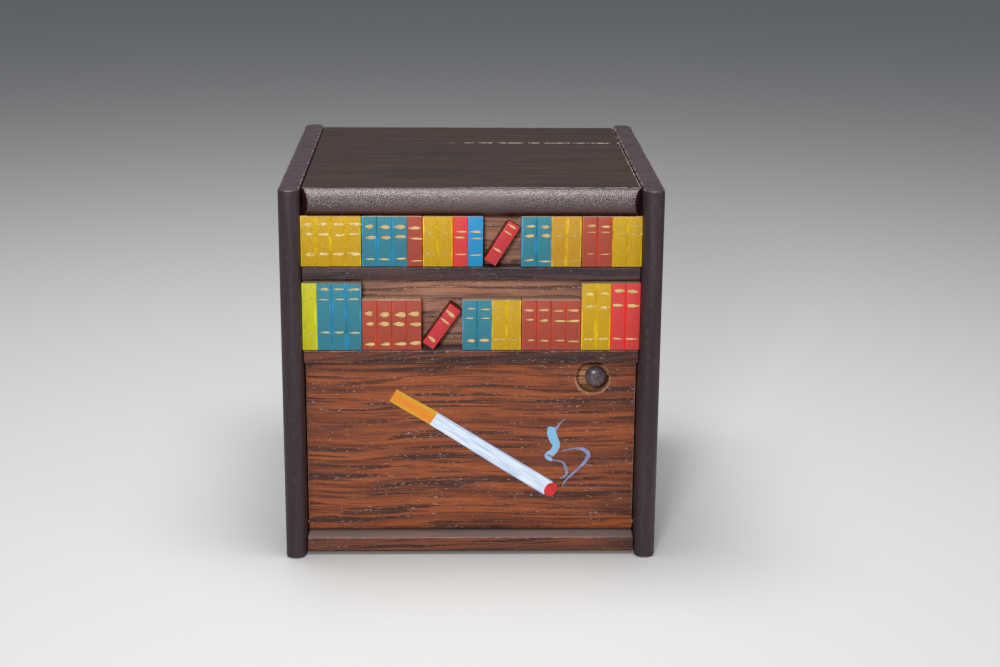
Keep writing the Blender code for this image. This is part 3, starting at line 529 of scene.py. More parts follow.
# %% [markdown]
# ## The rubbed and lit hole
# The knob sits in a round hole in the flap. Fingertips have rubbed the polish off its rim,
# and the rim is painted wider and lighter at its lower side, as painted light on the hole's
# lit lower wall, so the flap's finish is told where the hole is. The hole's centre is not
# stored in the model, but the knob's is, and the hole is centred a little to the left of it.
# The slider behind the hole is painted lighter than the other inner pieces, as painted light
# on the floor of the hole.

# %% Finish the flap and the pieces inside
KNOB_FROM_HOLE = 0.85
HOLE_RADIUS = 4.9
INNER_PIECES = (
    "left_flap_stop", "right_flap_stop", "bolt_keeper", "lid_keeper", "flap_keeper",
    "catch_rail_upper", "catch_rail_lower", "catch_cover", "catch_slider", "catch_tongue",
    "upper_latch_dowel", "upper_latch_hook", "lower_latch_dowel", "lower_latch_tail",
)
# The slider is painted lighter, as painted light on the floor of the hole.
LIT_INNER = dict(INNER, light=(206, 140, 96), dark=(176, 112, 76))

knob_low, knob_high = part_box("catch_knob")
knob_centre = (knob_low + knob_high) / 2
hole_place = (knob_centre.x / MM - KNOB_FROM_HOLE, knob_centre.z / MM, HOLE_RADIUS)
finish_node("flap_board", wood("flap_wood", "flap_board", ACROSS, hole=hole_place, **PANEL), 0.25)
for node in INNER_PIECES:
    colours = LIT_INNER if node == "catch_slider" else INNER
    finish_node(node, wood(node + "_wood", node, ACROSS, **colours), 0.12)
print("the hole's centre is at x", round(hole_place[0], 2), "and z", round(hole_place[1], 2), "mm")

# %% [markdown]
# ## Brass pins
# The lid and the flap turn on short brass pins, hidden in the wood until the box is opened.
# Old brass is dull, with brighter rubbed patches, so one noise drives both its colour and
# its roughness.

# %% Finish the pins
def brass(name):
    """Dull yellow metal."""
    material, tree, shader, in_mm = start_material(name)
    patches = cloud(tree, stretch(tree, in_mm, 0.9, 0.9), 3.0)
    tint = mix(tree, patches, colour(150, 116, 62), colour(214, 178, 104))
    tree.links.new(tint, shader.inputs["Base Color"])
    gloss = maths(tree, "SUBTRACT", 0.55, maths(tree, "MULTIPLY", patches, 0.3))
    tree.links.new(gloss, shader.inputs["Roughness"])
    shader.inputs["Metallic"].default_value = 1.0
    return material


pin_brass = brass("pin_brass")
for node in ("lid_pin_left", "lid_pin_right", "flap_pin_left", "flap_pin_right"):
    finish_node(node, pin_brass, 0.1)
print("four pins are finished")

# %% [markdown]
# ## Tools for modelling
# The pieces below are modelled as by hand: a primitive, then edit-mode tools on faces and
# edges that are picked by their place. These helpers add a box, pick parts of a mesh, cut
# it, and copy what a modifier makes into it. The last one attaches a new piece to the body
# that it rides on and hides the pieces of the frame that it stands in for.

# %% Helpers for modelling
HAIR = 0.02 * MM          # two places closer than this are the same


def settle(name):
    """Names the new piece, and puts its place in its mesh."""
    piece = bpy.context.object
    piece.name = name
    piece.data.name = name
    bpy.ops.object.transform_apply(location=True, rotation=True, scale=True)
    return piece


def add_cube(name, low, high):
    """A box between two corners."""
    bpy.ops.object.select_all(action="DESELECT")
    bpy.ops.mesh.primitive_cube_add(size=1.0, location=(low + high) / 2, scale=high - low)
    return settle(name)


def pick(piece, kind, test):
    """Selects only the vertices, edges or faces of the piece in edit mode that pass a test."""
    bpy.ops.mesh.select_mode(type=kind)
    bpy.ops.mesh.select_all(action="DESELECT")
    mesh = bmesh.from_edit_mesh(piece.data)
    found = {"VERT": mesh.verts, "EDGE": mesh.edges, "FACE": mesh.faces}[kind]
    for part in found:
        corners = [part] if kind == "VERT" else part.verts
        if test(sum((corner.co for corner in corners), Vector()) / len(corners), part):
            part.select_set(True)
    mesh.select_flush_mode()
    bmesh.update_edit_mesh(piece.data)


def slice_at(place, normal, **keep):
    """Cuts the piece in edit mode along a plane."""
    bpy.ops.mesh.select_all(action="SELECT")
    bpy.ops.mesh.bisect(plane_co=place, plane_no=normal, **keep)


def apply_modifier(piece, kind, **settings):
    """Adds a modifier and makes its result the mesh."""
    bpy.ops.object.select_all(action="DESELECT")
    piece.select_set(True)
    bpy.context.view_layer.objects.active = piece
    modifier = piece.modifiers.new(kind.lower(), kind)
    for name, value in settings.items():
        setattr(modifier, name, value)
    bpy.ops.object.modifier_apply(modifier=modifier.name)


def ease_edges(piece, width, segments=2, sharpest=40):
    """Rounds the sharp edges of a finished piece by so many millimetres."""
    apply_modifier(piece, "BEVEL", width=width * MM, segments=segments, limit_method="ANGLE",
                   angle_limit=math.radians(sharpest))
    bpy.ops.object.shade_smooth_by_angle(angle=math.radians(35))


def stand_in(piece, body, slot, *nodes):
    """Says what a new piece rides on and hides the nodes that it replaces; slot is not used."""
    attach(piece, body)
    if nodes:
        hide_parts(*nodes)
    print(piece.name, len(piece.data.polygons), "faces")


print("modelling helpers are ready")

# %% [markdown]
# ## The nose of the lid
# The front of the lid is a half-round moulding whose ends are cut back at an angle. A
# cylinder is sliced flat at the back and at both ends. The bisect tool ignores what lies
# within a small threshold of its plane, and it measures that along the normal that it is
# given, so the normal has to be one unit long. The real one was rounded by hand, so its
# long faces are subdivided and a little displacement leaves them slightly uneven.

# %% Model the nose
NOSE_CUT_BACK = 1.8 * MM  # how much shorter each end is at the front
NOSE_CUTS = 70
UNEVENNESS = 0.14 * MM
UNEVEN_SIZE = 4.5 * MM


def model_nose():
    """A half cylinder along X with slanting ends."""
    low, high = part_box("lid_nose")
    radius = (high.z - low.z) / 2
    centre = Vector(((low.x + high.x) / 2, high.y, low.z + radius))
    bpy.ops.object.select_all(action="DESELECT")
    bpy.ops.mesh.primitive_cylinder_add(vertices=96, radius=radius, depth=high.x - low.x, location=centre,
                                        rotation=(0.0, math.radians(90), 0.0))
    nose = settle("lid_nose_moulding")
    bpy.ops.object.mode_set(mode="EDIT")
    slice_at((0.0, high.y, 0.0), (0.0, 1.0, 0.0), use_fill=True, clear_outer=True)
    for end, sign in ((low.x, -1.0), (high.x, 1.0)):
        slant = Vector((sign * radius, -NOSE_CUT_BACK, 0.0)).normalized()
        slice_at((end, high.y, 0.0), slant, use_fill=True, clear_outer=True)
    half = (high.x - low.x) / 2
    pick(nose, "EDGE", lambda middle, edge: abs(edge.verts[0].co.x - edge.verts[1].co.x) > half)
    bpy.ops.mesh.subdivide(number_cuts=NOSE_CUTS)
    bpy.ops.object.mode_set(mode="OBJECT")
    uneven = bpy.data.textures.new("hand_work", "CLOUDS")
    uneven.noise_scale = UNEVEN_SIZE
    apply_modifier(nose, "DISPLACE", texture=uneven, texture_coords="GLOBAL", strength=UNEVENNESS)
    ease_edges(nose, 0.18, sharpest=50)
    return nose


nose = model_nose()
nose.data.materials.append(wood("nose_wood", "lid_nose", ACROSS, depth=0.20, orange_peel=2.2, **NOSE))
stand_in(nose, "lid", "nose_wood", "lid_nose")

# %% [markdown]
# ## Paint that has been rubbed
# Each book block is painted on its front only. The saw kerfs between the books kept their
# fresh paint, but the middles have been rubbed thin and dirty, and the grain shows through
# as upright streaks. The pattern follows each book, so it reads a UV map that runs from 0
# to 1 across every book. All the paints share one group that turns that map into masks.

# %% The rubbed paint group
def make_rubbed_group():
    """Masks for paint that is rubbed in the middle of a book, for specks and for streaks."""
    inputs = {"Vector": (0.0, 0.0, 0.0), "Across": 0.5}
    tree, given, result = shader_group("rubbed_paint", inputs, ("Rubbed", "Specks", "Streaks", "Height"))
    other_side = maths(tree, "SUBTRACT", 1.0, given["Across"])
    edge = maths(tree, "MINIMUM", given["Across"], other_side)
    patches = cloud(tree, stretch(tree, given["Vector"], 2.6, 5.0), 3.0, 0.6)
    wander = maths(tree, "MULTIPLY", maths(tree, "SUBTRACT", patches, 0.5), 0.42)
    tree.links.new(fade(tree, maths(tree, "ADD", edge, wander), 0.0, 0.10), result["Rubbed"])
    specks = cloud(tree, stretch(tree, given["Vector"], 0.24, 0.3), 2.0, 0.6)
    tree.links.new(fade(tree, specks, 0.56, 0.66), result["Specks"])
    streaks = cloud(tree, stretch(tree, given["Vector"], 0.3, 3.2), 2.0)
    tree.links.new(fade(tree, streaks, 0.50, 0.68), result["Streaks"])
    height = maths(tree, "ADD", maths(tree, "MULTIPLY", streaks, 0.7), maths(tree, "MULTIPLY", specks, 0.3))
    tree.links.new(height, result["Height"])
    return tree


rubbed_paint = make_rubbed_group()
print("group", rubbed_paint.name, "with", len(rubbed_paint.nodes), "nodes")

# %% One function for all the paints
def paint(name, fresh, tired, dirt):
    """Brush paint for books: fresh in the kerfs, tired in the middle, with specks of dirt."""
    material, tree, shader, in_mm = start_material(name)
    book_map = add_node(tree, "ShaderNodeUVMap", {}, uv_map="book").outputs[0]
    across = add_node(tree, "ShaderNodeSeparateXYZ", {0: book_map}).outputs[0]
    masks = use_group(tree, rubbed_paint, {"Vector": in_mm, "Across": across})
    tint = mix(tree, masks["Rubbed"], colour(*fresh), colour(*tired))
    dirty = maths(tree, "MULTIPLY", masks["Specks"], maths(tree, "MULTIPLY", masks["Rubbed"], 0.7))
    tint = mix(tree, dirty, tint, colour(*dirt))
    tint = mix(tree, maths(tree, "MULTIPLY", masks["Streaks"], 0.14), tint, colour(*dirt))
    tree.links.new(tint, shader.inputs["Base Color"])
    gloss = maths(tree, "ADD", maths(tree, "MULTIPLY", masks["Rubbed"], 0.18), 0.40)
    tree.links.new(gloss, shader.inputs["Roughness"])
    shader.inputs["Specular IOR Level"].default_value = 0.3
    add_bump(tree, shader, masks["Height"], 0.03)
    return material


paints = {
    "yellow": paint("yellow_paint", (224, 188, 4), (188, 148, 8), (138, 104, 24)),
    "mustard": paint("mustard_paint", (220, 180, 8), (184, 136, 24), (128, 98, 40)),
    "lime": paint("lime_paint", (212, 216, 4), (184, 180, 8), (130, 124, 24)),
    "blue": paint("blue_paint", (30, 146, 196), (40, 118, 136), (76, 96, 88)),
    "light_blue": paint("light_blue_paint", (16, 150, 212), (26, 134, 184), (40, 106, 142)),
    "brown_red": paint("brown_red_paint", (192, 66, 42), (158, 64, 46), (120, 64, 54)),
    "bright_red": paint("bright_red_paint", (228, 40, 35), (200, 56, 52), (150, 62, 60)),
    "book_red": paint("book_red_paint", (204, 46, 50), (186, 48, 54), (140, 40, 46)),
    # The sides of the leaning books take a darker copy of their red, as painted shade.
    "shaded_book_side": paint("shaded_book_side_paint", (120, 30, 32), (96, 28, 30), (60, 26, 28)),
}
print(len(paints), "paints")

# %% [markdown]
# ## Book blocks
# A row of books is five blocks of wood, and each block is four books. A block starts as a
# box. Three saw kerfs are cut in its front by slicing the box three times for each kerf and
# pushing the middle edge in. Every book front is then set back by its own hair's breadth,
# since they were cut by eye. The tops of the upper blocks are planed down towards the back,
# which lets the nose of the lid close over them.

# %% Cut a block into books
BOOKS_IN_BLOCK = 4
KERF_WIDTH = 0.36 * MM
KERF_DEPTH = 0.42 * MM
MOST_SET_BACK = 0.14 * MM
PLANED_SLOPE = Vector((0.0, 0.37, 0.93))
UNPLANED = 1.5 * MM       # how much of an upper block's top is left level at the front
book_fronts = {}          # where each book's front ended up, for the gilding


def model_block(node, planed):
    """One block with three kerfs, and a map that runs from 0 to 1 across each book."""
    low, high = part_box(node)
    block = add_cube(node + "_carved", low, high)
    book = (high.x - low.x) / BOOKS_IN_BLOCK
    bpy.ops.object.mode_set(mode="EDIT")
    for index in range(1, BOOKS_IN_BLOCK):
        kerf = low.x + index * book
        for aside in (-KERF_WIDTH / 2, 0.0, KERF_WIDTH / 2):
            slice_at((kerf + aside, 0.0, 0.0), (1.0, 0.0, 0.0))
        pick(block, "EDGE", lambda middle, edge: abs(middle.x - kerf) < HAIR and middle.y < low.y + HAIR)
        bpy.ops.transform.translate(value=(0.0, KERF_DEPTH, 0.0))
    for index in range(BOOKS_IN_BLOCK):
        centre = low.x + (index + 0.5) * book
        pick(block, "FACE",
             lambda middle, face: abs(middle.x - centre) < book / 4 and middle.y < low.y + HAIR)
        set_back = chance.uniform(0.0, MOST_SET_BACK)
        bpy.ops.transform.translate(value=(0.0, set_back, 0.0))
        book_fronts[node, index] = low.y + set_back
    if planed:
        slice_at((0.0, low.y + UNPLANED, high.z), PLANED_SLOPE, use_fill=True, clear_outer=True)
    bpy.ops.object.mode_set(mode="OBJECT")
    ease_edges(block, 0.09, sharpest=50)
    return block


def map_books(block, left, width, bottom, height, books):
    """Writes the book map and returns the number of the book that each face belongs to."""
    book_map = block.data.uv_layers.new(name="book")
    owners = []
    for face in block.data.polygons:
        owner = min(books - 1, max(0, int((face.center.x - left) / width)))
        owners.append(owner)
        for corner in face.loop_indices:
            place = block.data.vertices[block.data.loops[corner].vertex_index].co
            across = (place.x - left) / width - owner
            book_map.data[corner].uv = (min(1.0, max(0.0, across)), (place.z - bottom) / height)
    return owners


bare_wood = wood("bare_book_wood", "lower_books_2", UPRIGHT, light=(236, 196, 162), dark=(208, 170, 140),
                 line=(150, 118, 98), pore=(160, 132, 112), wax_glint=(224, 196, 168), worn_and_lit=(176, 146, 122),
                 roughness=0.6, line_share=0.5)
print("a kerf is", round(KERF_WIDTH / MM, 2), "mm wide")

# %% [markdown]
# ## Which book is which
# The rows are listed from left to right. A block holds runs of books of one paint, and each
# run has its own gilding: how high each bar sits over the shelf and how thick it is, in
# millimetres, and whether its leaf is still gold or has rubbed off until it is thin, pale or
# faint.

# %% The two rows of books
ROWS = {
    "upper_books_1": [("yellow", 4, "pale", ((12.5, 0.9), (9.5, 0.8), (3.85, 1.0)))],
    "upper_books_2": [("blue", 3, "gold", ((11.8, 1.3), (8.8, 0.9), (2.5, 0.6))),
                      ("brown_red", 1, "gold", ((11.65, 1.0), (8.6, 0.8), (1.95, 0.4)))],
    "upper_books_3": [("yellow", 2, "faint", ((9.9, 1.1), (4.0, 0.7))),
                      ("bright_red", 1, "gold", ((10.5, 0.6), (8.9, 0.6), (3.85, 0.5))),
                      ("light_blue", 1, "gold", ((10.5, 0.6), (8.6, 0.5), (3.7, 0.4)))],
    "upper_books_4": [("blue", 2, "gold", ((11.8, 0.8), (9.2, 1.1), (1.95, 0.6))),
                      ("mustard", 2, "faint", ((11.8, 0.9), (9.2, 1.1), (1.95, 0.7)))],
    "upper_books_5": [("brown_red", 2, "gold", ((12.1, 0.8), (10.4, 0.3), (4.0, 0.3))),
                      ("yellow", 2, "faint", ((12.1, 0.8), (9.8, 0.7)))],
    "lower_books_1": [("lime", 1, "faint", ((18.5, 0.9), (15.5, 0.6), (5.4, 0.6))),
                      ("blue", 3, "thin", ((18.2, 0.75), (15.2, 0.45), (5.4, 0.55)))],
    "lower_books_2": [("brown_red", 4, "gold", ((10.9, 1.4), (8.05, 1.2), (2.1, 1.05)))],
    "lower_books_3": [("blue", 2, "gold", ((12.6, 0.5), (9.7, 0.4), (3.15, 1.0))),
                      ("yellow", 2, "faint", ((12.8, 0.7), (9.8, 0.6), (3.3, 0.9)))],
    "lower_books_4": [("brown_red", 4, "gold", ((12.1, 0.7), (9.1, 0.65), (3.0, 0.5)))],
    "lower_books_5": [("yellow", 2, "pale", ((17.0, 0.9), (13.2, 0.9), (3.6, 0.6))),
                      ("bright_red", 2, "gold", ((17.8, 1.0), (13.5, 0.9), (3.7, 0.5)))],
}
RECORD_SLOT = {"yellow": "paint_yellow", "lime": "paint_yellow", "blue": "paint_blue",
               "brown_red": "paint_brown_red", "bright_red": "paint_red"}


def finish_block(node, runs):
    """Models a block and paints its books."""
    low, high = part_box(node)
    block = model_block(node, planed=node.startswith("upper"))
    names = [run[0] for run in runs for _ in range(run[1])]
    for name in names:
        block.data.materials.append(paints[name])
    block.data.materials.append(bare_wood)
    width = (high.x - low.x) / BOOKS_IN_BLOCK
    owners = map_books(block, low.x, width, low.z, high.z - low.z, BOOKS_IN_BLOCK)
    for face, owner in zip(block.data.polygons, owners):
        painted = face.normal.y < -0.3
        face.material_index = owner if painted else BOOKS_IN_BLOCK
    stand_in(block, "case", RECORD_SLOT[names[0]], node)


for node, runs in ROWS.items():
    finish_block(node, runs)

# %% [markdown]
# ## Gilding
# The bars on the spines are touches of thick gold paint. The brush came down at the right
# and was drawn off to the left, so each touch is round at one end and pointed at the other.
# The last two red books of the lower row were done the other way round. One touch is
# modelled from a disc and then copied for every bar, stretched to its length and thickness
# and made a little ragged. Worn leaf is broken up by a dry-brush group whose mask feeds
# Alpha.

# %% Gold paint
def make_dry_brush():
    """A mask for paint from a dry brush: solid at Fill 1, and broken by streaks below it."""
    tree, given, result = shader_group("dry_brush", {"Vector": (0.0, 0.0, 0.0), "Fill": 0.7}, ("Paint",))
    hairs = cloud(tree, stretch(tree, given["Vector"], 0.9, 0.22), 2.0, 0.6)
    flakes = cloud(tree, stretch(tree, given["Vector"], 0.4, 0.4), 3.0, 0.7)
    both = maths(tree, "MULTIPLY", maths(tree, "ADD", hairs, flakes), 0.5)
    limit = maths(tree, "SUBTRACT", 0.78, maths(tree, "MULTIPLY", given["Fill"], 0.5))
    bare = maths(tree, "SUBTRACT", limit, both)
    tree.links.new(fade(tree, bare, 0.03, -0.03), result["Paint"])
    return tree


def brushed(name, tint, second, fill, roughness, along=ACROSS, depth=0.02):
    """Paint in two tones laid with a dry brush."""
    material, tree, shader, in_mm = start_material(name)
    mapped = add_node(tree, "ShaderNodeMapping", {"Vector": in_mm, "Rotation": along}).outputs[0]
    mask = use_group(tree, dry_brush, {"Vector": mapped, "Fill": fill})["Paint"]
    hairs = cloud(tree, stretch(tree, mapped, 3.0, 0.3), 2.0, 0.6)
    tone = fade(tree, hairs, 0.38, 0.62)
    tree.links.new(mix(tree, tone, colour(*tint), colour(*second)), shader.inputs["Base Color"])
    tree.links.new(mask, shader.inputs["Alpha"])
    gloss = maths(tree, "ADD", maths(tree, "MULTIPLY", tone, 0.12), roughness)
    tree.links.new(gloss, shader.inputs["Roughness"])
    add_bump(tree, shader, hairs, depth)
    return material


dry_brush = make_dry_brush()
gilts = {
    "gold": brushed("gold_leaf", (212, 184, 118), (184, 150, 92), 0.84, 0.35),
    "thin": brushed("thin_leaf", (196, 184, 132), (150, 158, 128), 0.72, 0.4),
    "pale": brushed("pale_leaf", (226, 214, 160), (214, 190, 110), 0.62, 0.4),
    "faint": brushed("faint_leaf", (196, 180, 110), (180, 168, 110), 0.50, 0.45),
}
print(len(gilts), "kinds of leaf")

# %% Model one touch of the brush
TOUCH_THICKNESS = 0.06 * MM
SUNK = 0.01 * MM          # how deep a touch sits in the paint under it
RAGGED = 0.11             # how far its edge strays, as a share of its thickness
MOST_RAGGED = RAGGED * MM


def model_touch():
    """A drop of paint one unit long and one high, lying on the plane y = 0 and facing -Y."""
    bpy.ops.object.select_all(action="DESELECT")
    bpy.ops.mesh.primitive_circle_add(vertices=22, radius=0.5, fill_type="NGON",
                                      rotation=(math.radians(90), 0.0, 0.0))
    touch = settle("touch_of_paint")
    bpy.ops.object.mode_set(mode="EDIT")
    for start, squeeze in ((-0.05, 0.86), (-0.22, 0.78), (-0.36, 0.7)):
        pick(touch, "VERT", lambda place, vertex: place.x < start)
        bpy.ops.transform.resize(value=(1.0, 1.0, squeeze), center_override=(0.0, 0.0, 0.0))
    for start, swell in ((0.26, 1.12), (0.40, 1.22)):
        pick(touch, "VERT", lambda place, vertex: place.x > start)
        bpy.ops.transform.resize(value=(1.0, 1.0, swell), center_override=(0.0, 0.0, 0.0))
    bpy.ops.mesh.select_all(action="SELECT")
    bpy.ops.mesh.extrude_region_move(TRANSFORM_OT_translate={"value": (0.0, -TOUCH_THICKNESS, 0.0)})
    bpy.ops.mesh.select_all(action="SELECT")
    bpy.ops.mesh.normals_make_consistent(inside=False)
    bpy.ops.object.mode_set(mode="OBJECT")
    return touch


def copy_touch(centre, length, thickness, leaf, turn=0.0):
    """A ragged copy of the touch; centre is in metres and lies on the painted face."""
    copy = model_of_touch.copy()
    copy.data = model_of_touch.data.copy()
    bpy.context.scene.collection.objects.link(copy)
    reach = min(RAGGED * thickness, MOST_RAGGED)
    for vertex in copy.data.vertices:
        vertex.co.z *= thickness
        vertex.co.x *= length
        vertex.co.z += chance.uniform(-reach, reach)
        vertex.co.x += chance.uniform(-reach, reach)
    copy.data.transform(Matrix.Translation(centre) @ Matrix.Rotation(turn, 4, "Y"))
    copy.data.materials.clear()
    copy.data.materials.append(gilts[leaf])
    return copy


def join_pieces(copies, name):
    """Joins copies into one piece."""
    bpy.ops.object.select_all(action="DESELECT")
    for copy in copies:
        copy.select_set(True)
    bpy.context.view_layer.objects.active = copies[0]
    bpy.ops.object.join()
    joined = bpy.context.object
    joined.name = name
    joined.data.name = name
    return joined


model_of_touch = model_touch()
print("one touch has", len(model_of_touch.data.vertices), "vertices")

# %% Gild the two rows
SHORT_TOUCH = 0.50        # lengths are shares of a book's width
LONG_TOUCH = 0.68
LONGER_EACH_BOOK = 0.08   # the loaded brush left longer touches further along a block


def gild_book(place, book, index, leaf, bars, turned):
    """The bars on one book; place is the middle of its front, level with the shelf."""
    copies = []
    for height, thickness in bars:
        length = book * (chance.uniform(SHORT_TOUCH, LONG_TOUCH) + LONGER_EACH_BOOK * index)
        aside = chance.uniform(-0.05, 0.12) * book
        lift = chance.uniform(-0.2, 0.2)
        centre = place + Vector((aside, 0.0, (height + lift) * MM))
        swell = chance.uniform(0.75, 1.05)
        turn = chance.uniform(-0.05, 0.05) + (math.pi if turned else 0.0)
        copies.append(copy_touch(centre, length, thickness * swell * MM, leaf, turn))
    return copies


def gild_row(row, shelf):
    """Bars on every book of a row, as one piece."""
    shelf_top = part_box(shelf)[1].z
    copies = []
    for node, runs in ROWS.items():
        if not node.startswith(row):
            continue
        low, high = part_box(node)
        book = (high.x - low.x) / BOOKS_IN_BLOCK
        books = [run for run in runs for _ in range(run[1])]
        for index, (paint_name, _, leaf, bars) in enumerate(books):
            place = Vector((low.x + (index + 0.5) * book, book_fronts[node, index] + SUNK, shelf_top))
            turned = paint_name == "bright_red" and row == "lower"
            copies += gild_book(place, book, index, leaf, bars, turned)
    gilding = join_pieces(copies, row + "_row_gilding")
    stand_in(gilding, "case", "paint_yellow")


gild_row("upper", "upper_shelf")
gild_row("lower", "middle_board")

# %% [markdown]
# ## Leaning books
# In each row one book leans in a gap. It is a latch: it turns on a dowel, and when it stands
# upright it locks the lid or the flap. Each book is modelled upright on its pivot and then
# turned by its joint's own range, so that it lies exactly where the working model has it.

# %% Model the leaning books
LEANING_BOOKS = {
    "upper": dict(joint="upper_book_turn", length=13.3, bars=((8.95, 0.55, 2.7, 0.0), (6.8, 0.4, 2.6, 0.0),
                                                              (1.0, 0.55, 2.7, 0.0))),
    "lower": dict(joint="lower_book_turn", length=14.0, bars=((8.3, 0.95, 3.1, 8.0), (5.6, 0.65, 3.1, 4.0),
                                                              (-0.9, 1.0, 2.5, 8.0))),
}
BOOK_WIDTH = 3.75 * MM
PIVOT_UP = 3.3 * MM       # from the book's lower end to its pivot
UNPLANED_BOOK = 1.4 * MM
BARS_LEFT = 0.25 * MM     # the bars sit a little left of the book's middle


def lean_of(joint_name):
    """A latch joint's pivot in metres, and how far its book leans at rest."""
    joint = next(joint for joint in frame["joints"] if joint["name"] == joint_name)
    return Vector(joint["pos_m"]), math.radians(joint["range_deg"][1])


def model_leaning_book(row, facts):
    """A red book with its bars; it leans to the right at rest."""
    node = row + "_leaning_book"
    low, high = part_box(node)
    pivot, lean = lean_of(facts["joint"])
    bottom = pivot.z - PIVOT_UP
    top = bottom + facts["length"] * MM
    corner = Vector((pivot.x - BOOK_WIDTH / 2, low.y, bottom))
    far_corner = Vector((pivot.x + BOOK_WIDTH / 2, high.y, top))
    book = add_cube(node + "_carved", corner, far_corner)
    if row == "upper":
        bpy.ops.object.mode_set(mode="EDIT")
        slice_at((0.0, low.y + UNPLANED_BOOK, top), PLANED_SLOPE, use_fill=True, clear_outer=True)
        bpy.ops.object.mode_set(mode="OBJECT")
    ease_edges(book, 0.16)
    map_books(book, corner.x, BOOK_WIDTH, bottom, top - bottom, 1)
    book.data.materials.append(paints["book_red"])
    book.data.materials.append(paints["shaded_book_side"])
    # The sides get the darker copy of the red, as painted shade.
    for face in book.data.polygons:
        face.material_index = 0 if face.normal.y < -0.5 else 1
    copies = []
    for height, thickness, length, tilt in facts["bars"]:
        centre = Vector((pivot.x - BARS_LEFT, low.y + SUNK, pivot.z + height * MM))
        copies.append(copy_touch(centre, length * MM, thickness * MM, "gold", math.radians(tilt)))
    bars = join_pieces(copies, row + "_leaning_book_bars")
    turn = Matrix.Translation(pivot) @ Matrix.Rotation(lean, 4, "Y") @ Matrix.Translation(-pivot)
    for piece in (book, bars):
        piece.data.transform(turn)
    stand_in(book, row + "_latch", "paint_red", node)
    stand_in(bars, row + "_latch", "paint_yellow")


for row, facts in LEANING_BOOKS.items():
    model_leaning_book(row, facts)
bpy.data.objects.remove(model_of_touch)

# %% [markdown]
# ## The knob
# The knob was turned on a lathe: a shank, a cove, a wide rim and a dome with a small pip.
# The tool's path is a list of radii along the axis. A disc is extruded from one step to the
# next and scaled to the new radius, which is what a lathe does the other way round.

# %% Turn the knob
SHANK_RADIUS = 1.3 * MM
PIP_RADIUS = 0.5 * MM
PIP_HEIGHT = 0.22 * MM
RIM_BEHIND_CROWN = 1.9 * MM
RIM_THICKNESS = 0.35 * MM
COVE_BEHIND_RIM = 0.9 * MM
COVE_LENGTH = 1.6 * MM


def knob_profile(radius, back, crown):
    """Radii and places along Y, from the shank's end to the tip of the pip."""
    rim = crown + RIM_BEHIND_CROWN
    cove = rim + COVE_BEHIND_RIM
    profile = [(SHANK_RADIUS, back), (SHANK_RADIUS, cove + COVE_LENGTH)]
    for step in range(1, 7):
        share = step / 6
        flare = (radius * 0.93 - SHANK_RADIUS) * share ** 2
        profile.append((SHANK_RADIUS + flare, cove + COVE_LENGTH * (1 - share)))
    profile += [(radius, rim + RIM_THICKNESS), (radius, rim)]
    dome = rim - crown - 0.25 * MM
    for step in range(1, 13):
        angle = math.radians(90 * step / 13)
        profile.append((max(radius * math.cos(angle), PIP_RADIUS * 1.1), rim - dome * math.sin(angle)))
    for step in range(1, 5):
        angle = math.radians(90 * step / 5)
        profile.append((PIP_RADIUS * math.cos(angle), crown + PIP_HEIGHT * (1 - math.sin(angle))))
    return profile


def model_knob():
    """A lathe-turned knob along Y, in place."""
    low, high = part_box("catch_knob")
    middle = (low + high) / 2
    profile = knob_profile((high.x - low.x) / 2 - 0.01 * MM, high.y, low.y)
    bpy.ops.object.select_all(action="DESELECT")
    bpy.ops.mesh.primitive_circle_add(vertices=64, radius=profile[0][0], fill_type="NGON",
                                      location=(middle.x, profile[0][1], middle.z),
                                      rotation=(math.radians(90), 0.0, 0.0))
    knob = settle("catch_knob_turned")
    bpy.ops.object.mode_set(mode="EDIT")
    bpy.ops.mesh.select_all(action="SELECT")
    for (radius, place), (next_radius, next_place) in zip(profile, profile[1:]):
        bpy.ops.mesh.extrude_region_move(TRANSFORM_OT_translate={"value": (0.0, next_place - place, 0.0)})
        share = next_radius / radius
        bpy.ops.transform.resize(value=(share, 1.0, share), center_override=(middle.x, next_place, middle.z))
    bpy.ops.mesh.select_all(action="SELECT")
    bpy.ops.mesh.normals_make_consistent(inside=False)
    bpy.ops.object.mode_set(mode="OBJECT")
    bpy.ops.object.shade_smooth_by_angle(angle=math.radians(50))
    return knob


def knob_finish():
    """Dark horn-like wood, polished by fingers, with fine turning marks."""
    material, tree, shader, in_mm = start_material("knob_polish")
    patches = cloud(tree, stretch(tree, in_mm, 1.3, 1.3), 4.0, 0.65)
    tint = mix(tree, fade(tree, patches, 0.35, 0.65), colour(92, 78, 84), colour(60, 46, 50))
    rubbed = fade(tree, cloud(tree, stretch(tree, in_mm, 0.5, 0.5), 3.0), 0.56, 0.70)
    tint = mix(tree, maths(tree, "MULTIPLY", rubbed, 0.5), tint, colour(150, 118, 104))
    tree.links.new(tint, shader.inputs["Base Color"])
    gloss = maths(tree, "ADD", maths(tree, "MULTIPLY", patches, 0.25), 0.16)
    tree.links.new(gloss, shader.inputs["Roughness"])
    marks = cloud(tree, stretch(tree, in_mm, 0.35, 0.35), 3.0)
    add_bump(tree, shader, marks, 0.05, 0.5)
    return material


knob = model_knob()
knob.data.materials.append(knob_finish())
stand_in(knob, "catch", "knob_wood", "catch_knob")

# %% [markdown]
# ## The painted cigarette
# The flap is painted with a burning cigarette, which says what the box is for. Each stroke
# of the painter is a thin layer on the wood. A stroke is modelled as a strip: a small plane
# whose leading edge is extruded from point to point along the stroke, and set to the
# brush's width there. The strip is then given the thickness of the paint.

# %% Model a brush stroke
PAINT_THICKNESS = 0.06 * MM
STEPS_PER_STRETCH = 6
MOSTLY_AHEAD = 0.72       # the cosine that tells a small plane's leading edge from the others
NARROWEST = 0.05          # a stroke never gets narrower than this, in millimetres


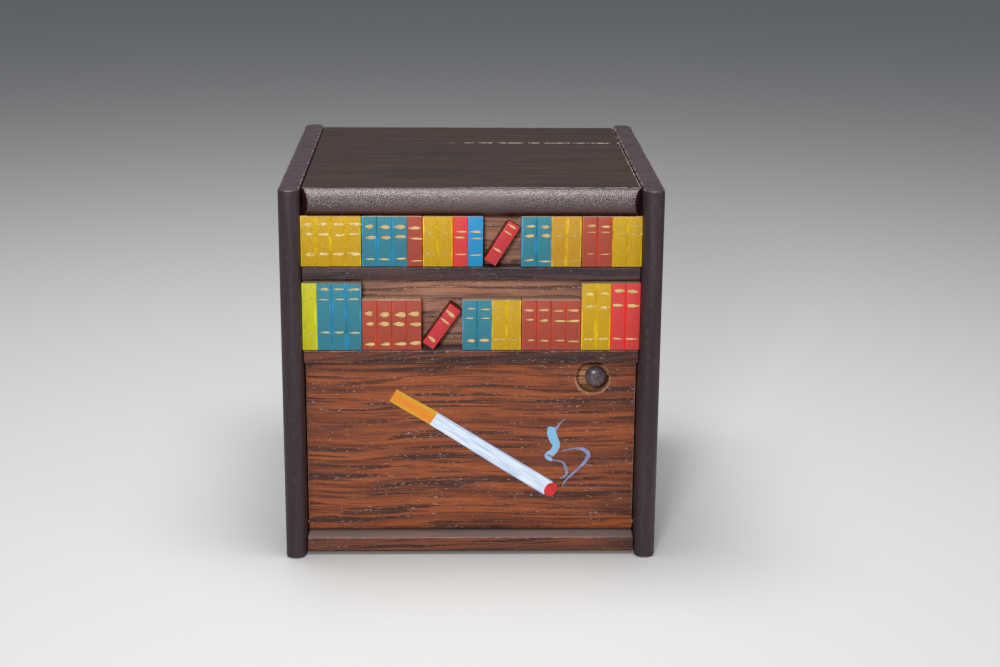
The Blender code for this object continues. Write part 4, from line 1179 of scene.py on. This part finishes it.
def smooth_path(points):
    """Points on a smooth curve through (x, z, width) points, all in millimetres."""
    padded = [Vector(points[0])] + [Vector(point) for point in points] + [Vector(points[-1])]
    path = []
    for before, start, end, after in zip(padded, padded[1:], padded[2:], padded[3:]):
        for step in range(STEPS_PER_STRETCH):
            t = step / STEPS_PER_STRETCH
            bend = (2 * before - 5 * start + 4 * end - after) * t * t
            curl = (3 * start - before - 3 * end + after) * t * t * t
            path.append((2 * start + (end - before) * t + bend + curl) / 2)
    path.append(Vector(points[-1]))
    return path


def set_tip(piece, centre, direction, width, face_y):
    """Places the two selected vertices on both sides of a point, square to a direction."""
    mesh = bmesh.from_edit_mesh(piece.data)
    tip = [vertex for vertex in mesh.verts if vertex.select]
    side = Vector((-direction.y, 0.0, direction.x)).normalized()
    tip.sort(key=lambda vertex: vertex.co.dot(side))
    middle = Vector((centre.x * MM, face_y, centre.y * MM))
    for vertex, sign in zip(tip, (-0.5, 0.5)):
        vertex.co = middle + side * sign * width * MM
    bmesh.update_edit_mesh(piece.data)


def model_stroke(name, points, lift=0.0, smooth=True):
    """A strip of paint on the flap along (x, z, width) points in millimetres."""
    face_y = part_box("flap_board")[0].y - lift * MM
    path = smooth_path(points) if smooth else [Vector(point) for point in points]
    places = [Vector((point.x, point.y)) for point in path]
    bpy.ops.object.select_all(action="DESELECT")
    bpy.ops.mesh.primitive_plane_add(size=0.02 * MM, rotation=(math.radians(90), 0.0, 0.0),
                                     location=(places[0].x * MM, face_y, places[0].y * MM))
    stroke = settle(name)
    heading = places[1] - places[0]
    bpy.ops.object.mode_set(mode="EDIT")
    start = Vector((places[0].x * MM, face_y, places[0].y * MM))
    ahead = Vector((heading.x, 0.0, heading.y))
    ahead.normalize()
    pick(stroke, "EDGE", lambda middle, edge: (middle - start).normalized().dot(ahead) > MOSTLY_AHEAD)
    for index, place in enumerate(places):
        after = places[min(index + 1, len(places) - 1)]
        before = places[max(index - 1, 0)]
        if index:
            step = place - before
            bpy.ops.mesh.extrude_region_move(
                TRANSFORM_OT_translate={"value": (step.x * MM, 0.0, step.y * MM)})
        set_tip(stroke, place, after - before, max(path[index].z, NARROWEST), face_y)
    bpy.ops.mesh.select_all(action="SELECT")
    bpy.ops.mesh.remove_doubles(threshold=0.005 * MM)
    bpy.ops.mesh.dissolve_degenerate(threshold=0.002 * MM)
    bpy.ops.mesh.extrude_region_move(TRANSFORM_OT_translate={"value": (0.0, -PAINT_THICKNESS, 0.0)})
    bpy.ops.mesh.select_all(action="SELECT")
    bpy.ops.mesh.normals_make_consistent(inside=False)
    bpy.ops.object.mode_set(mode="OBJECT")
    return stroke


print("a layer of paint is", round(PAINT_THICKNESS / MM, 2), "mm thick")

# %% Paint the cigarette
STICK_START = Vector((-22.7, 47.8))
STICK_END = Vector((23.2, 18.75))
STICK_LAYER = 0.03        # the paper laps over the filter by so many millimetres of paint
stick = STICK_END - STICK_START
stick_angle = math.atan2(stick.y, stick.x)
ALONG_STICK = (0.0, stick_angle, 0.0)


def stick_paint(name, middle, border, streak, half_width, fill):
    """Paint laid along the stick, with a different tone at its two long edges."""
    material, tree, shader, in_mm = start_material(name)
    turn = Matrix.Rotation(stick_angle, 3, "Y")
    centre = Vector((STICK_START.x, 0.0, STICK_START.y))
    feeds = {"Vector": in_mm, "Rotation": ALONG_STICK, "Location": -(turn @ centre)}
    mapped = add_node(tree, "ShaderNodeMapping", feeds).outputs[0]
    out = maths(tree, "ABSOLUTE", add_node(tree, "ShaderNodeSeparateXYZ", {0: mapped}).outputs[2])
    hairs = cloud(tree, stretch(tree, mapped, 9.0, 0.35), 2.0, 0.6)
    tint = mix(tree, fade(tree, hairs, 0.42, 0.60), colour(*middle), colour(*streak))
    edge = maths(tree, "ADD", out, maths(tree, "MULTIPLY", hairs, 0.9))
    tint = mix(tree, fade(tree, edge, half_width, half_width + 0.5), tint, colour(*border))
    tree.links.new(tint, shader.inputs["Base Color"])
    mask = use_group(tree, dry_brush, {"Vector": mapped, "Fill": fill})["Paint"]
    tree.links.new(mask, shader.inputs["Alpha"])
    tree.links.new(maths(tree, "ADD", maths(tree, "MULTIPLY", hairs, 0.2), 0.28), shader.inputs["Roughness"])
    add_bump(tree, shader, hairs, 0.05)
    return material


stick_parts = (
    ("painted_filter", ((-22.8, 47.85, 4.15), (-16.9, 44.3, 4.3), (-10.6, 40.6, 4.5)),
     stick_paint("filter_paint", (228, 142, 8), (208, 160, 8), (218, 124, 8), 1.7, 1.05)),
    ("painted_paper", ((-10.9, 40.75, 4.4), (-3.0, 35.6, 4.55), (10.0, 27.2, 4.8), (23.1, 18.85, 5.0)),
     stick_paint("paper_paint", (226, 236, 246), (156, 170, 208), (184, 204, 230), 2.35, 1.05)),
)
for layer, (name, points, finish) in enumerate(stick_parts):
    part = model_stroke(name, points, lift=STICK_LAYER * layer)
    part.data.materials.append(finish)
    stand_in(part, "flap", "paint_yellow")

# %% Paint the ember
EMBER_LENGTH = 3.6
EMBER_HEIGHT = 4.8
EMBER_THICKNESS = 0.08 * MM
EMBER_PLACE = Vector((23.7, 18.45))


def model_ember():
    """A low red dome at the burning end."""
    face_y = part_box("flap_board")[0].y
    bpy.ops.object.select_all(action="DESELECT")
    bpy.ops.mesh.primitive_circle_add(vertices=40, radius=0.5 * MM, fill_type="NGON",
                                      rotation=(math.radians(90), 0.0, 0.0))
    ember = settle("painted_ember")
    bpy.ops.object.mode_set(mode="EDIT")
    bpy.ops.mesh.select_all(action="SELECT")
    bpy.ops.transform.resize(value=(EMBER_LENGTH, 1.0, EMBER_HEIGHT), center_override=(0.0, 0.0, 0.0))
    bpy.ops.mesh.extrude_region_move(TRANSFORM_OT_translate={"value": (0.0, -EMBER_THICKNESS, 0.0)})
    bpy.ops.transform.resize(value=(0.9, 1.0, 0.92), center_override=(0.0, 0.0, 0.0))
    bpy.ops.mesh.select_all(action="SELECT")
    bpy.ops.mesh.normals_make_consistent(inside=False)
    bpy.ops.object.mode_set(mode="OBJECT")
    place = Vector((EMBER_PLACE.x * MM, face_y - PAINT_THICKNESS, EMBER_PLACE.y * MM))
    ember.data.transform(Matrix.Translation(place) @ Matrix.Rotation(-stick_angle, 4, "Y"))
    ember_paint = brushed("ember_paint", (222, 26, 24), (182, 28, 34), 1.1, 0.3, ALONG_STICK)
    ember.data.materials.append(ember_paint)
    return ember


stand_in(model_ember(), "flap", "paint_red")

# %% Paint the smoke
SMOKE_LAYER = 0.02        # each stroke of smoke lies over the one before it
smoke_blue = brushed("smoke_blue", (112, 184, 220), (150, 176, 214), 0.94, 0.4, UPRIGHT)
smoke_grey = brushed("smoke_grey", (142, 150, 190), (112, 118, 156), 0.74, 0.4, UPRIGHT)
SMOKE = {
    "smoke_plume": (smoke_blue, ((24.0, 38.0, 2.3), (23.8, 36.1, 2.7), (24.6, 34.0, 2.6), (25.2, 32.3, 2.2),
                                 (24.4, 30.4, 2.0), (22.9, 29.0, 2.2), (24.0, 27.5, 0.6))),
    "smoke_wisp": (smoke_grey, ((24.9, 36.9, 0.8), (25.7, 38.4, 0.55), (26.9, 39.9, 0.25),
                                (28.1, 40.6, 0.1))),
    "smoke_inner_curl": (smoke_grey, ((24.3, 27.7, 0.4), (27.1, 27.1, 0.5), (28.3, 24.8, 0.9),
                                      (28.3, 23.1, 0.7), (26.5, 21.9, 0.3))),
    "smoke_outer_curl": (smoke_grey, ((26.9, 30.6, 0.15), (30.4, 31.3, 0.45), (33.2, 31.1, 0.95),
                                      (34.7, 29.6, 1.25), (33.9, 27.3, 1.0), (31.6, 24.8, 0.65),
                                      (29.4, 22.7, 0.6), (27.7, 20.6, 0.35), (27.3, 19.1, 0.1))),
}
for layer, (name, (finish, points)) in enumerate(SMOKE.items()):
    stroke = model_stroke(name, points, lift=SMOKE_LAYER * layer)
    stroke.data.materials.append(finish)
    stand_in(stroke, "flap", "paint_blue")
